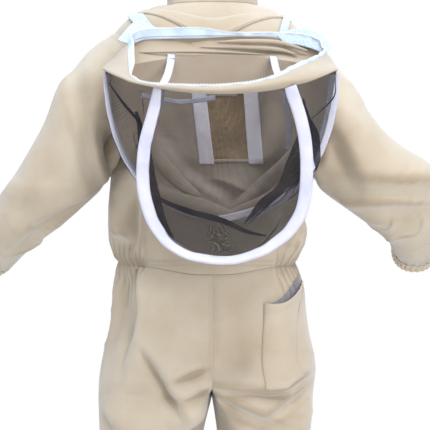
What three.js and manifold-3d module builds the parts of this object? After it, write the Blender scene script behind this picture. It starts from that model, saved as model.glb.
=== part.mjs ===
// A one-piece beekeeping coverall with a zip-on fencing-veil hood, worn-size adult medium.
// Millimetres. +Z up, the suit's front faces -Y and +X is the wearer's left.
// The origin is the centre of the neck opening, on the seam under the stand collar.
// The hood is shown thrown back: it hangs upside down behind the shoulders from the rear neck zip.
import * as THREE from 'three';
import { mergeVertices } from 'three/addons/utils/BufferGeometryUtils.js';
import Module from 'manifold-3d';

const wasm = await Module();
wasm.setup();

// ---- driving dimensions ----
const CLOTH = 1.6; // doubled cotton twill with its seams
const NET = 1.2; // veil net with its edge binding
const GAP = 0.3; // clearance between pieces that are sewn or stacked
const TAPE = 1.5; // thickness of zip and binding tape
const WAIST_Z = -472; // waist seam
const CROTCH_Z = -705;
const ANKLE_Z = -1385; // where the ankle elastic starts
const COLLAR_HEIGHT = 38;
const COLLAR_WALL = 3;
const CUFF_LENGTH = 26; // wrist and ankle elastic bands
const CUFF_WALL = 3;
const FRONT_Y = 112; // how far the straight front fall stands in front of the origin
const FRONT_ZIP_TOP_Z = -64;
const FRONT_ZIP_LENGTH = 580;
const TAPE_WIDTH = 14; // one side of a zip tape
const CHAIN_WIDTH = 6; // closed zip teeth
const PULL_LENGTH = 32;
const POCKET_GAPE = 11; // how far a patch pocket stands off the cloth under it
const HOOP_SECTION = 3.5; // sprung veil hoop
const HOOP_TAPE_WIDTH = 23;
const HOOD_HINGE = new THREE.Vector3(-18, 99, -50); // middle of the rear neck zip
const NECK_ZIP = { halfX: 137, halfY: 95, y: -7, shoulderZ: -22.9 }; // its closed line round the neck
const NECK_TAPE = { halfAcross: 7, halfAlong: 4 }; // the tape either side of that line, seen from above
const SLIDER_REST_DROP = 22; // the front slider's place below the zip's top end
const FAR = 4000; // larger than the whole suit, for cutting planes

const COLOURS = {
  twill: [0xd2c3ae, 0.9, 0],
  net: [0x26252a, 0.7, 0],
  tape: [0xe4e8f2, 0.8, 0],
  elastic: [0xc9bba6, 0.9, 0],
  spring: [0xb8bcc2, 0.4, 0.8],
  zip: [0xd8d9dc, 0.35, 0.9],
  teeth: [0xc9c3b8, 0.5, 0],
};

// ---- solids ----
function toSolid(geometry) {
  geometry.deleteAttribute('normal');
  geometry.deleteAttribute('uv');
  const merged = mergeVertices(geometry, 1e-4);
  return new wasm.Manifold(
    new wasm.Mesh({
      numProp: 3,
      vertProperties: new Float32Array(merged.attributes.position.array),
      triVerts: new Uint32Array(merged.index.array),
    }),
  );
}

function toGeometry(solid) {
  const data = solid.getMesh();
  const geometry = new THREE.BufferGeometry();
  geometry.setAttribute('position', new THREE.BufferAttribute(new Float32Array(data.vertProperties), 3));
  geometry.setIndex(new THREE.BufferAttribute(new Uint32Array(data.triVerts), 1));
  return geometry;
}

// One point of a rounded oval: power 2 is an ellipse, a higher power is squarer.
function ovalPoint(angle, power) {
  const cosine = Math.cos(angle);
  const sine = Math.sin(angle);
  return [
    Math.sign(cosine) * Math.abs(cosine) ** (2 / power),
    Math.sign(sine) * Math.abs(sine) ** (2 / power),
  ];
}

// A closed solid through a stack of rings that all have the same number of points.
function loft(rings) {
  const count = rings[0].length;
  const points = rings.flat();
  const indices = [];
  for (let row = 0; row + 1 < rings.length; row += 1) {
    for (let column = 0; column < count; column += 1) {
      const here = row * count + column;
      const next = row * count + ((column + 1) % count);
      indices.push(here, next, here + count, next, next + count, here + count);
    }
  }
  for (const row of [0, rings.length - 1]) {
    const centre = new THREE.Vector3();
    rings[row].forEach((point) => centre.addScaledVector(point, 1 / count));
    const middle = points.push(centre) - 1;
    for (let column = 0; column < count; column += 1) {
      const here = row * count + column;
      const next = row * count + ((column + 1) % count);
      indices.push(...(row === 0 ? [next, here, middle] : [here, next, middle]));
    }
  }
  let volume = 0;
  for (let i = 0; i < indices.length; i += 3) {
    const [a, b, c] = [points[indices[i]], points[indices[i + 1]], points[indices[i + 2]]];
    volume += a.dot(b.clone().cross(c));
  }
  if (volume < 0) indices.reverse();
  const geometry = new THREE.BufferGeometry().setFromPoints(points);
  geometry.setIndex(indices);
  return toSolid(geometry);
}

// Everything on the side of a plane that its normal points to.
function halfSpace(point, normal) {
  const box = new THREE.BoxGeometry(FAR, FAR, FAR);
  box.translate(0, 0, FAR / 2);
  const turn = new THREE.Quaternion().setFromUnitVectors(
    new THREE.Vector3(0, 0, 1),
    new THREE.Vector3(...normal).normalize(),
  );
  box.applyQuaternion(turn);
  box.translate(...point);
  return toSolid(box);
}

function block(low, high) {
  const size = high.map((value, i) => value - low[i]);
  const box = new THREE.BoxGeometry(...size);
  box.translate(...low.map((value, i) => value + size[i] / 2));
  return toSolid(box);
}

function outline(points) {
  return new THREE.Shape(points.map(([x, y]) => new THREE.Vector2(x, y)));
}

// An outline drawn in X and Z, extruded along Y between two depths.
function prismAlongY(shape, nearY, farY) {
  const geometry = new THREE.ExtrudeGeometry(shape, { depth: farY - nearY, bevelEnabled: false });
  geometry.rotateX(Math.PI / 2);
  geometry.translate(0, farY, 0);
  return toSolid(geometry);
}

// ---- torso: stacked rounded ovals from the neck seam to the crotch ----
// height, half width to the wearer's left and right, depth to the front and back
const TORSO = [
  [0, 84, 84, 76, 66],
  [-15, 125, 125, 92, 78],
  [-38, 160, 160, 106, 89],
  [-64, 180, 180, FRONT_Y, 96],
  [-110, 191, 191, FRONT_Y, 103],
  [-200, 190, 192, FRONT_Y, 108],
  [-292, 184, 190, FRONT_Y, 108],
  [-394, 189, 178, FRONT_Y, 102],
  [WAIST_Z, 172, 152, FRONT_Y, 96],
  [-530, 182, 168, FRONT_Y, 103],
  [-598, 191, 178, FRONT_Y, 110],
  [-670, 205, 189, FRONT_Y, 113],
  [CROTCH_Z, 203, 186, FRONT_Y - 5, 108],
];
const TORSO_POWER = 2.4;
const TORSO_SIDES = 24;

function torsoSolid(offset, openTop = false) {
  const rows = TORSO.map((row) => [...row]);
  rows[rows.length - 1][0] -= offset;
  if (openTop) rows.unshift([20, ...rows[0].slice(1)]);
  const rings = rows.map(([z, left, right, front, back]) => {
    const ring = [];
    for (let i = 0; i < TORSO_SIDES; i += 1) {
      const [x, y] = ovalPoint((2 * Math.PI * i) / TORSO_SIDES, TORSO_POWER);
      const halfX = (x > 0 ? left : right) + offset;
      const halfY = (y > 0 ? back : front) + offset;
      ring.push(new THREE.Vector3(x * halfX, y * halfY, z));
    }
    return ring;
  });
  return loft(rings);
}

// The skin between two heights above the torso's cloth.
function torsoLayer(inner, outer) {
  return torsoSolid(outer).subtract(torsoSolid(inner, true));
}

// ---- sleeves and legs: oval rings along a bent centre line ----
// centre point, half width across in the plane of the limb, half depth front to back
const LEFT_SLEEVE = [
  [[118, 0, -116], 91, 78],
  [[183, 4, -174], 93, 80],
  [[231, 8, -247], 79, 76],
  [[287, 8, -319], 66, 70],
  [[336, -4, -376], 56, 61],
  [[375, -38, -413], 48, 53],
  [[405, -87, -440], 44, 47],
  [[422, -136, -456], 41, 41],
];
const RIGHT_SLEEVE = [
  [[-118, 0, -118], 86, 78],
  [[-179, 4, -187], 89, 80],
  [[-233, 10, -261], 74, 76],
  [[-296, 14, -314], 71, 72],
  [[-349, 6, -352], 67, 66],
  [[-380, -26, -388], 58, 57],
  [[-391, -74, -420], 49, 49],
  [[-391, -124, -446], 42, 42],
];
const LEG = [
  [[0, 0, -696], 88, 94],
  [[0, 2, -745], 91, 104],
  [[0, 2, -800], 91, 100],
  [[0, 0, -930], 84, 90],
  [[0, -4, -1100], 78, 84],
  [[0, -4, -1250], 72, 78],
  [[0, -4, -1345], 66, 70],
  [[0, -4, ANKLE_Z], 54, 58],
];
const LEFT_LEG = { x: 112, fullness: 1 };
const RIGHT_LEG = { x: -97, fullness: 0.93 };
const LIMB_SIDES = 14;

function limbRings(stations, offset) {
  const centres = stations.map(([centre]) => new THREE.Vector3(...centre));
  return stations.map(([, across, deep], row) => {
    const before = centres[Math.max(row - 1, 0)];
    const after = centres[Math.min(row + 1, centres.length - 1)];
    const along = after.clone().sub(before).normalize();
    const depthAxis = new THREE.Vector3(0, 1, 0).addScaledVector(along, -along.y).normalize();
    const widthAxis = along.clone().cross(depthAxis);
    const ring = [];
    for (let i = 0; i < LIMB_SIDES; i += 1) {
      const [u, v] = ovalPoint((2 * Math.PI * i) / LIMB_SIDES, 2.2);
      ring.push(
        centres[row].clone()
          .addScaledVector(widthAxis, u * (across + offset))
          .addScaledVector(depthAxis, v * (deep + offset)),
      );
    }
    return ring;
  });
}

// A limb's solid, carried on past its far end by `beyond` where it cuts an open end.
function limbSolid(stations, offset, beyond = 0) {
  const rings = limbRings(stations, offset);
  if (beyond > 0) {
    const last = stations.length - 1;
    const reach = new THREE.Vector3(...stations[last][0])
      .sub(new THREE.Vector3(...stations[last - 1][0]))
      .normalize()
      .multiplyScalar(beyond);
    rings.push(rings[last].map((point) => point.clone().add(reach)));
  }
  return loft(rings);
}

function legStations(leg) {
  return LEG.map(([[x, y, z], across, deep]) => [[x + leg.x, y, z], across * leg.fullness, deep]);
}

// An elastic band that carries on from a limb's gathered end.
function cuffSolid(stations) {
  const last = stations.length - 1;
  const end = new THREE.Vector3(...stations[last][0]);
  const along = end.clone().sub(new THREE.Vector3(...stations[last - 1][0])).normalize();
  const rings = limbRings(stations, 0);
  const shifted = (distance, scale) => rings[last].map((point) => {
    const radial = point.clone().sub(end).multiplyScalar(scale);
    return end.clone().add(radial).addScaledVector(along, distance);
  });
  const wallScale = 1 - CUFF_WALL / stations[last][1];
  const outer = loft([shifted(GAP, 1), shifted(CUFF_LENGTH, 0.97)]);
  const hole = loft([shifted(-5, wallScale), shifted(CUFF_LENGTH + 5, 0.97 * wallScale)]);
  return outer.subtract(hole);
}

// ---- suit fabric ----
const leftSide = halfSpace([GAP / 2, 0, 0], [1, 0, 0]);
const rightSide = halfSpace([-GAP / 2, 0, 0], [-1, 0, 0]);
const frontSide = halfSpace([0, -GAP / 2, 0], [0, -1, 0]);
const backSide = halfSpace([0, GAP / 2, 0], [0, 1, 0]);
const aboveWaist = halfSpace([0, 0, WAIST_Z + GAP / 2], [0, 0, 1]);
const belowWaist = halfSpace([0, 0, WAIST_Z - GAP / 2], [0, 0, -1]);

const torsoShell = torsoSolid(0).subtract(torsoSolid(-CLOTH, true));
const leftSleeveBore = limbSolid(LEFT_SLEEVE, -CLOTH, 20);
const rightSleeveBore = limbSolid(RIGHT_SLEEVE, -CLOTH, 20);
const bodice = torsoShell.intersect(aboveWaist).subtract(leftSleeveBore).subtract(rightSleeveBore);

function sleeve(stations, bore) {
  return limbSolid(stations, 0).subtract(bore).subtract(torsoSolid(GAP));
}

const leftLegBore = limbSolid(legStations(LEFT_LEG), -CLOTH, 20);
const rightLegBore = limbSolid(legStations(RIGHT_LEG), -CLOTH, 20);

function trouserLeg(leg, bore, side) {
  return torsoSolid(0)
    .add(limbSolid(legStations(leg), 0))
    .subtract(torsoSolid(-CLOTH, true))
    .subtract(bore)
    .intersect(belowWaist)
    .intersect(side);
}

// ---- collar ----
function standCollar() {
  const ring = (z, halfX, front, back) => {
    const points = [];
    for (let i = 0; i < TORSO_SIDES; i += 1) {
      const [x, y] = ovalPoint((2 * Math.PI * i) / TORSO_SIDES, 2.2);
      points.push(new THREE.Vector3(x * halfX, y * (y > 0 ? back : front), z));
    }
    return points;
  };
  const tube = (inset, low, high) => loft([
    ring(low, 84 - inset, 75 - inset, 66 - inset),
    ring(high, 80 - inset, 70 - inset, 64 - inset),
  ]);
  const openFront = block([-3, -120, -50], [3, 0, 100]);
  return tube(0, GAP, COLLAR_HEIGHT)
    .subtract(tube(COLLAR_WALL, -10, COLLAR_HEIGHT + 10))
    .subtract(openFront);
}

// ---- patch pockets ----
// The patch is sewn down along its sides and foot and stands off the cloth between them.
function patchPocket(edge, hollow, side) {
  const reach = 220;
  const [near, far] = side > 0 ? [0, reach] : [-reach, 0];
  const patch = torsoLayer(GAP, POCKET_GAPE + CLOTH).intersect(prismAlongY(outline(edge), near, far));
  const space = torsoSolid(POCKET_GAPE).intersect(prismAlongY(outline(hollow), near, far));
  return patch.subtract(space);
}

const REAR_POCKET = {
  edge: [[-90, -546], [-120, -534], [-168, -502], [-170, -660], [-130, -688], [-92, -690]],
  hollow: [[-94, -530], [-120, -520], [-165, -480], [-166, -656], [-129, -683], [-96, -685]],
};
const CHEST_POCKET = {
  edge: [[52, -210], [142, -210], [142, -320], [97, -332], [52, -320]],
  hollow: [[56, -200], [138, -200], [138, -317], [97, -328], [56, -317]],
};

// ---- zips ----
function zipTape(fromX, toX) {
  const strip = outline([
    [fromX, FRONT_ZIP_TOP_Z],
    [toX, FRONT_ZIP_TOP_Z],
    [toX, FRONT_ZIP_TOP_Z - FRONT_ZIP_LENGTH],
    [fromX, FRONT_ZIP_TOP_Z - FRONT_ZIP_LENGTH],
  ]);
  return torsoLayer(GAP, GAP + TAPE).intersect(prismAlongY(strip, -220, 0));
}

// The saddle-shaped tape sewn round the base of the neck, half of the hood's zip.
function neckZipTape() {
  const ellipse = (halfX, halfY) => {
    const shape = new THREE.Shape();
    shape.absellipse(0, NECK_ZIP.y, halfX, halfY, 0, 2 * Math.PI);
    const geometry = new THREE.ExtrudeGeometry(shape, {
      depth: 200, bevelEnabled: false, curveSegments: 10,
    });
    geometry.translate(0, 0, -150);
    return toSolid(geometry);
  };
  const { halfX, halfY } = NECK_ZIP;
  const { halfAcross, halfAlong } = NECK_TAPE;
  return torsoLayer(GAP, GAP + TAPE)
    .intersect(ellipse(halfX + halfAcross, halfY + halfAlong))
    .subtract(ellipse(halfX - halfAcross, halfY - halfAlong));
}

const SLIDER_THICKNESS = 5;
const PULL_WALL = 1.6;
const PULL_EYE = 0.6; // the tab above its pivot, short enough to turn over the slider

// A slider body in X and Z: two shoulders at the top, narrowing to the closed teeth below.
function sliderGeometry() {
  const shape = outline([[-6, 7], [-2, 5], [2, 5], [6, 7], [4.5, -7], [-4.5, -7]]);
  const geometry = new THREE.ExtrudeGeometry(shape, { depth: SLIDER_THICKNESS, bevelEnabled: false });
  geometry.rotateX(Math.PI / 2);
  return geometry;
}

// A puller tab that hangs from its eye at the local origin, with a finger hole.
function pullGeometry() {
  const shape = new THREE.Shape();
  shape.moveTo(-3.5, PULL_EYE);
  shape.lineTo(3.5, PULL_EYE);
  shape.absarc(0, 5 - PULL_LENGTH, 5, 0, -Math.PI, true);
  const hole = new THREE.Path();
  hole.absellipse(0, 6 - PULL_LENGTH, 2.4, 2.4, 0, 2 * Math.PI);
  shape.holes.push(hole);
  const geometry = new THREE.ExtrudeGeometry(shape, {
    depth: PULL_WALL, bevelEnabled: false, curveSegments: 8,
  });
  geometry.rotateX(Math.PI / 2);
  geometry.translate(0, PULL_WALL / 2, 0);
  return geometry;
}

// ---- hood: a bag of horizontal rings in the hood's own frame, its hinge line at the origin ----
// height, half width, back and front, squareness
const BAG = [
  [20, 160, -3, 190, 2],
  [-10, 176, 1, 218, 2],
  [-50, 192, 8, 230, 2],
  [-95, 198, 15, 240, 2.1],
  [-150, 190, 19, 242, 2.2],
  [-200, 178, 22, 242, 2.4],
  [-250, 166, 26, 241, 2.6],
  [-300, 147, 36, 238, 2.6],
  [-345, 120, 62, 234, 2.5],
  [-385, 86, 104, 230, 2.3],
  [-412, 48, 150, 222, 2],
  [-422, 18, 176, 210, 2],
];
const BAG_SIDES = 24;

function bagSolid(offset, openTop = false) {
  const rows = openTop ? [[BAG[0][0] + 20, ...BAG[0].slice(1)], ...BAG] : BAG;
  const rings = rows.map(([z, halfX, back, front, power], row) => {
    const ring = [];
    const middle = (back + front) / 2;
    const halfY = (front - back) / 2;
    const drop = row === rows.length - 1 ? -offset : 0;
    for (let i = 0; i < BAG_SIDES; i += 1) {
      const [x, y] = ovalPoint((2 * Math.PI * i) / BAG_SIDES, power);
      ring.push(new THREE.Vector3(x * (halfX + offset), middle + y * (halfY + offset), z + drop));
    }
    return ring;
  });
  return loft(rings);
}

function bagLayer(inner, outer) {
  return bagSolid(outer).subtract(bagSolid(inner, true));
}

// planes that part the hood, each a point and the normal of the side it keeps
const RIM_POINT = [0, 0, -4];
const RIM_SLOPE = [0, -0.45, -1]; // the rim falls towards the veil side
const SEAM_POINT = [0, 0, -62];
const SEAM_SLOPE = [0, -0.36, -1];
const FRONT_HOOP_POINT = [0, 206, -300];
const FRONT_HOOP_FACING = [0, 1, 0.02];
const CROWN_HOOP_POINT = [0, 118, -95];
const CROWN_HOOP_FACING = [0, 1, -0.16];

function shiftedPlane(point, normal, distance) {
  const unit = new THREE.Vector3(...normal).normalize().multiplyScalar(distance);
  return point.map((value, i) => value + unit.getComponent(i));
}

function keep(point, normal, distance = 0) {
  return halfSpace(shiftedPlane(point, normal, distance), normal);
}

function reversed(vector) {
  return vector.map((value) => -value);
}

const belowRim = keep(RIM_POINT, RIM_SLOPE);
const aboveSeam = keep(SEAM_POINT, reversed(SEAM_SLOPE), GAP / 2);
const belowSeam = keep(SEAM_POINT, SEAM_SLOPE, GAP / 2);
const behindCrown = keep(CROWN_HOOP_POINT, reversed(CROWN_HOOP_FACING), GAP / 2);
const beforeCrown = keep(CROWN_HOOP_POINT, CROWN_HOOP_FACING, GAP / 2);
const behindFront = keep(FRONT_HOOP_POINT, reversed(FRONT_HOOP_FACING), GAP / 2);
const beforeFront = keep(FRONT_HOOP_POINT, FRONT_HOOP_FACING, GAP / 2);

function band(point, normal, width) {
  return keep(point, normal, -width / 2).intersect(keep(point, reversed(normal), -width / 2));
}

const VENT = { left: 36, right: -56, top: -122, bottom: -236, tape: 16 };

function ventPrism(left, right, top, bottom) {
  return prismAlongY(outline([[left, top], [left, bottom], [right, bottom], [right, top]]), -40, 100);
}

const hoodCloth = bagLayer(-CLOTH, 0);
const hoodNet = bagLayer(-NET, 0);
const ventHole = ventPrism(VENT.left, VENT.right, VENT.top, VENT.bottom);
const ventFill = ventPrism(VENT.left - GAP, VENT.right + GAP, VENT.top - GAP, VENT.bottom + GAP);

function ventTape(centreX) {
  const strip = ventPrism(
    centreX + VENT.tape / 2, centreX - VENT.tape / 2, VENT.top + 10, VENT.bottom - 10,
  );
  return bagLayer(-CLOTH - GAP - TAPE, -CLOTH - GAP).intersect(strip);
}

function hoopTape(point, facing) {
  return bagLayer(GAP, GAP + TAPE)
    .intersect(band(point, facing, HOOP_TAPE_WIDTH))
    .intersect(keep(SEAM_POINT, SEAM_SLOPE, 1));
}

function hoop(point, facing) {
  const inside = -CLOTH - GAP;
  return bagLayer(inside - HOOP_SECTION, inside)
    .intersect(band(point, facing, HOOP_SECTION))
    .intersect(keep(RIM_POINT, RIM_SLOPE, 18));
}

function hoodZipTape() {
  return bagLayer(GAP, GAP + TAPE)
    .intersect(belowRim)
    .intersect(keep(RIM_POINT, reversed(RIM_SLOPE), -TAPE_WIDTH));
}

// The hook-and-loop tab at each end of the hood's zip, over its tape.
function hookPatch(fromX, toX) {
  return bagLayer(GAP + TAPE + GAP, 2 * (GAP + TAPE) + 1)
    .intersect(belowRim)
    .intersect(keep(RIM_POINT, reversed(RIM_SLOPE), -30))
    .intersect(block([fromX, 60, -400], [toX, 125, 100]));
}

// The hoop's binding runs on inside the hood, from the veil-side rim to the back of the neck.
function innerTape(frontX, backX) {
  const path = new THREE.CatmullRomCurve3([
    new THREE.Vector3(frontX, 186, -124),
    new THREE.Vector3((frontX + backX) / 2, 104, -96),
    new THREE.Vector3(backX, 44, -66),
  ]);
  const section = outline([[-0.8, -9], [0.8, -9], [0.8, 9], [-0.8, 9]]);
  return toSolid(new THREE.ExtrudeGeometry(section, { steps: 6, extrudePath: path }));
}

// ---- assembly ----
const suit = new THREE.Group();

function part(parent, name, geometry, look, position = [0, 0, 0], rotation = [0, 0, 0]) {
  const [color, roughness, metalness] = COLOURS[look];
  const mesh = new THREE.Mesh(geometry, new THREE.MeshStandardMaterial({ color, roughness, metalness }));
  mesh.name = name;
  mesh.position.set(...position);
  mesh.rotation.set(...rotation);
  parent.add(mesh);
  return mesh;
}

part(suit, 'back_bodice', toGeometry(bodice.intersect(backSide)), 'twill');
const frontBodice = bodice.intersect(frontSide);
part(suit, 'left_front_bodice', toGeometry(frontBodice.intersect(leftSide)), 'twill');
part(suit, 'right_front_bodice', toGeometry(frontBodice.intersect(rightSide)), 'twill');
part(suit, 'stand_collar', toGeometry(standCollar()), 'twill');

part(suit, 'left_sleeve', toGeometry(sleeve(LEFT_SLEEVE, leftSleeveBore)), 'twill');
part(suit, 'right_sleeve', toGeometry(sleeve(RIGHT_SLEEVE, rightSleeveBore)), 'twill');
part(suit, 'left_wrist_cuff', toGeometry(cuffSolid(LEFT_SLEEVE)), 'elastic');
part(suit, 'right_wrist_cuff', toGeometry(cuffSolid(RIGHT_SLEEVE)), 'elastic');

part(suit, 'left_trouser_leg', toGeometry(trouserLeg(LEFT_LEG, leftLegBore, leftSide)), 'twill');
part(suit, 'right_trouser_leg', toGeometry(trouserLeg(RIGHT_LEG, rightLegBore, rightSide)), 'twill');
part(suit, 'left_ankle_cuff', toGeometry(cuffSolid(legStations(LEFT_LEG))), 'elastic');
part(suit, 'right_ankle_cuff', toGeometry(cuffSolid(legStations(RIGHT_LEG))), 'elastic');

// The waist is gathered at the sides only, by an elastic sewn inside each side.
const elasticLayer = torsoSolid(-CLOTH - GAP).subtract(torsoSolid(-CLOTH - GAP - TAPE, true));
const elasticBand = elasticLayer.intersect(block([-400, -400, WAIST_Z - 15], [400, 400, WAIST_Z + 15]));
const ELASTIC_START_X = 95;
part(suit, 'left_waist_elastic',
  toGeometry(elasticBand.intersect(halfSpace([ELASTIC_START_X, 0, 0], [1, 0, 0]))), 'elastic');
part(suit, 'right_waist_elastic',
  toGeometry(elasticBand.intersect(halfSpace([-ELASTIC_START_X, 0, 0], [-1, 0, 0]))), 'elastic');

part(suit, 'rear_hip_pocket', toGeometry(patchPocket(REAR_POCKET.edge, REAR_POCKET.hollow, 1)), 'twill');
part(suit, 'chest_pocket', toGeometry(patchPocket(CHEST_POCKET.edge, CHEST_POCKET.hollow, -1)), 'twill');

const halfChain = CHAIN_WIDTH / 2;
part(suit, 'left_front_zip_tape', toGeometry(zipTape(halfChain + GAP, TAPE_WIDTH)), 'tape');
part(suit, 'right_front_zip_tape', toGeometry(zipTape(-TAPE_WIDTH, -halfChain - GAP)), 'tape');
part(suit, 'front_zip_teeth', toGeometry(zipTape(-halfChain, halfChain)), 'teeth');
part(suit, 'neck_zip_tape', toGeometry(neckZipTape()), 'tape');

// A slider lies on its tape with its pull over it. It stands out along `outward`, and its mouth
// points along `mouth`.
function zipSlider(name, place, outward, mouth) {
  const out = new THREE.Vector3(...outward).normalize();
  const zAxis = new THREE.Vector3(...mouth).normalize();
  const yAxis = out.clone().negate();
  const xAxis = yAxis.clone().cross(zAxis);
  const slider = new THREE.Group();
  slider.setRotationFromMatrix(new THREE.Matrix4().makeBasis(xAxis, yAxis, zAxis));
  slider.position.set(...place).addScaledVector(out, GAP + TAPE + GAP);
  suit.add(slider);
  part(slider, `${name}_slider`, sliderGeometry(), 'zip');
  const pullY = -SLIDER_THICKNESS - GAP - PULL_WALL / 2;
  part(slider, `${name}_pull`, pullGeometry(), 'zip', [0, pullY, 0]);
}

// The front slider rests at the top, with the zip closed. The neck zip is open, so its two
// sliders are parked where it crosses the shoulders.
zipSlider('front_zip', [0, -FRONT_Y, FRONT_ZIP_TOP_Z - SLIDER_REST_DROP], [0, -1, 0], [0, 0, 1]);
const { halfX: shoulderX, y: shoulderY, shoulderZ } = NECK_ZIP;
zipSlider('left_neck_zip', [shoulderX, shoulderY, shoulderZ], [0.55, 0, 0.84], [0, 1, 0]);
zipSlider('right_neck_zip', [-shoulderX, shoulderY, shoulderZ], [-0.55, 0, 0.84], [0, 1, 0]);

const hood = new THREE.Group();
hood.position.copy(HOOD_HINGE);
suit.add(hood);

const ring = hoodCloth.intersect(belowRim);
part(hood, 'hood_yoke', toGeometry(ring.intersect(aboveSeam)), 'twill');
part(hood, 'hood_back',
  toGeometry(hoodCloth.intersect(belowSeam).intersect(behindCrown).subtract(ventHole)), 'twill');
part(hood, 'hood_side_mesh',
  toGeometry(hoodNet.intersect(belowSeam).intersect(beforeCrown).intersect(behindFront)), 'net');
part(hood, 'hood_face_mesh', toGeometry(hoodNet.intersect(belowSeam).intersect(beforeFront)), 'net');
part(hood, 'vent_mesh', toGeometry(hoodNet.intersect(ventFill)), 'net');
part(hood, 'left_vent_tape', toGeometry(ventTape(VENT.left)), 'tape');
part(hood, 'right_vent_tape', toGeometry(ventTape(VENT.right)), 'tape');
part(hood, 'front_hoop', toGeometry(hoop(FRONT_HOOP_POINT, FRONT_HOOP_FACING)), 'spring');
part(hood, 'front_hoop_tape', toGeometry(hoopTape(FRONT_HOOP_POINT, FRONT_HOOP_FACING)), 'tape');
part(hood, 'crown_hoop', toGeometry(hoop(CROWN_HOOP_POINT, CROWN_HOOP_FACING)), 'spring');
part(hood, 'crown_hoop_tape', toGeometry(hoopTape(CROWN_HOOP_POINT, CROWN_HOOP_FACING)), 'tape');
part(hood, 'left_inner_tape', toGeometry(innerTape(104, 100)), 'tape');
part(hood, 'right_inner_tape', toGeometry(innerTape(-104, -100)), 'tape');
part(hood, 'hood_zip_tape', toGeometry(hoodZipTape()), 'tape');
part(hood, 'left_hook_patch', toGeometry(hookPatch(100, 260)), 'tape');
part(hood, 'right_hook_patch', toGeometry(hookPatch(-260, -100)), 'tape');

export default suit;
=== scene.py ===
"""A beekeeping coverall with its veil hood thrown back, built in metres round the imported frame.

+Z is up, the suit's front faces -Y and +X is the wearer's left. The origin is the neck seam's centre.
"""
import itertools
import math

import bmesh
import bpy
import mathutils
import numpy as np
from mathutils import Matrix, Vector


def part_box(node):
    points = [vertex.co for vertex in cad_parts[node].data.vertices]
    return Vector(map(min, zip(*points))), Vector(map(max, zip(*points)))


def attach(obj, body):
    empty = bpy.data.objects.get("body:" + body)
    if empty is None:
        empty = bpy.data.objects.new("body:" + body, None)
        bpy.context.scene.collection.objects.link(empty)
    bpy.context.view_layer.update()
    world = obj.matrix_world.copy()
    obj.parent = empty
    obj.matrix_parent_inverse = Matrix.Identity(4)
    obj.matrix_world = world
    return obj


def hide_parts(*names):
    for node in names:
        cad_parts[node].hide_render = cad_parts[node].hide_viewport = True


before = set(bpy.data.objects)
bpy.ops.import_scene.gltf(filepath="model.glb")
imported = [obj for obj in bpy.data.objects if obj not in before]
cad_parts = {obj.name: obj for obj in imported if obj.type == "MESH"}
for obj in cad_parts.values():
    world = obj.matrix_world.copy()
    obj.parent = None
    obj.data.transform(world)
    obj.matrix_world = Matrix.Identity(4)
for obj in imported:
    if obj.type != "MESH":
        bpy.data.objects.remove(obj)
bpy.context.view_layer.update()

# ---- driving sizes ----
STEP = 0.0042  # spacing of the cloth's mesh
WAIST_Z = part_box("back_bodice")[0][2]
HEM_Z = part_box("left_ankle_cuff")[0][2]
CROTCH_Z = -0.700
SEAM_GAP = 0.0003

# height, half width to the wearer's left and right, depth to the front and back
TORSO = np.array([
    (0.000, 0.084, 0.084, 0.076, 0.066),
    (-0.015, 0.132, 0.118, 0.092, 0.078),
    (-0.038, 0.168, 0.152, 0.106, 0.089),
    (-0.064, 0.186, 0.177, 0.112, 0.096),
    (-0.110, 0.191, 0.191, 0.112, 0.103),
    (-0.200, 0.190, 0.192, 0.112, 0.108),
    (-0.292, 0.187, 0.186, 0.112, 0.108),
    (-0.394, 0.195, 0.167, 0.112, 0.102),
    (-0.472, 0.170, 0.147, 0.112, 0.096),
    (-0.530, 0.182, 0.168, 0.112, 0.103),
    (-0.598, 0.191, 0.178, 0.112, 0.110),
    (-0.670, 0.208, 0.191, 0.112, 0.113),
    (-0.705, 0.208, 0.190, 0.107, 0.108),
])
TORSO_POWER = 2.4  # how square the torso's rings are: 2 is an ellipse
LIMB_POWER = 2.2  # the same for the sleeves' and legs' rings

# centre, half width in the limb's plane, half depth front to back
LEFT_SLEEVE = np.array([
    (0.118, 0.000, -0.116, 0.091, 0.078),
    (0.182, 0.004, -0.175, 0.092, 0.080),
    (0.229, 0.008, -0.248, 0.077, 0.076),
    (0.285, 0.008, -0.320, 0.065, 0.070),
    (0.336, -0.004, -0.376, 0.054, 0.060),
    (0.375, -0.038, -0.413, 0.046, 0.053),
    (0.405, -0.087, -0.440, 0.042, 0.047),
    (0.422, -0.136, -0.456, 0.041, 0.041),
])
RIGHT_SLEEVE = np.array([
    (-0.110, 0.000, -0.114, 0.077, 0.078),
    (-0.179, 0.004, -0.187, 0.089, 0.080),
    (-0.232, 0.010, -0.262, 0.070, 0.076),
    (-0.294, 0.014, -0.316, 0.067, 0.072),
    (-0.347, 0.006, -0.354, 0.065, 0.066),
    (-0.380, -0.026, -0.388, 0.057, 0.057),
    (-0.391, -0.074, -0.420, 0.048, 0.049),
    (-0.391, -0.124, -0.446, 0.041, 0.042),
])
# height, centre's depth, half width, half depth; the leg's x comes with its side
LEG = np.array([
    (-0.696, 0.000, 0.095, 0.104),
    (-0.745, 0.002, 0.096, 0.105),
    (-0.800, 0.002, 0.094, 0.100),
    (-0.930, 0.000, 0.084, 0.090),
    (-1.100, -0.004, 0.078, 0.084),
    (-1.250, -0.004, 0.072, 0.078),
    (-1.345, -0.004, 0.066, 0.070),
    (-1.385, -0.004, 0.054, 0.058),
])
LEG_X = {"left": 0.112, "right": -0.097}
LEG_FULLNESS = {"left": 1.0, "right": 0.93}


# ---- numbers along tables ----
def eased(keys, values, at, blur):
    """Values between table rows, with the corners rounded off and the ends kept."""
    reach = np.minimum(blur, np.minimum(at - keys[0], keys[-1] - at))
    offsets = np.linspace(-1.0, 1.0, 9)
    return sum(np.interp(at + d * reach, keys, values) for d in offsets) / len(offsets)


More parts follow.
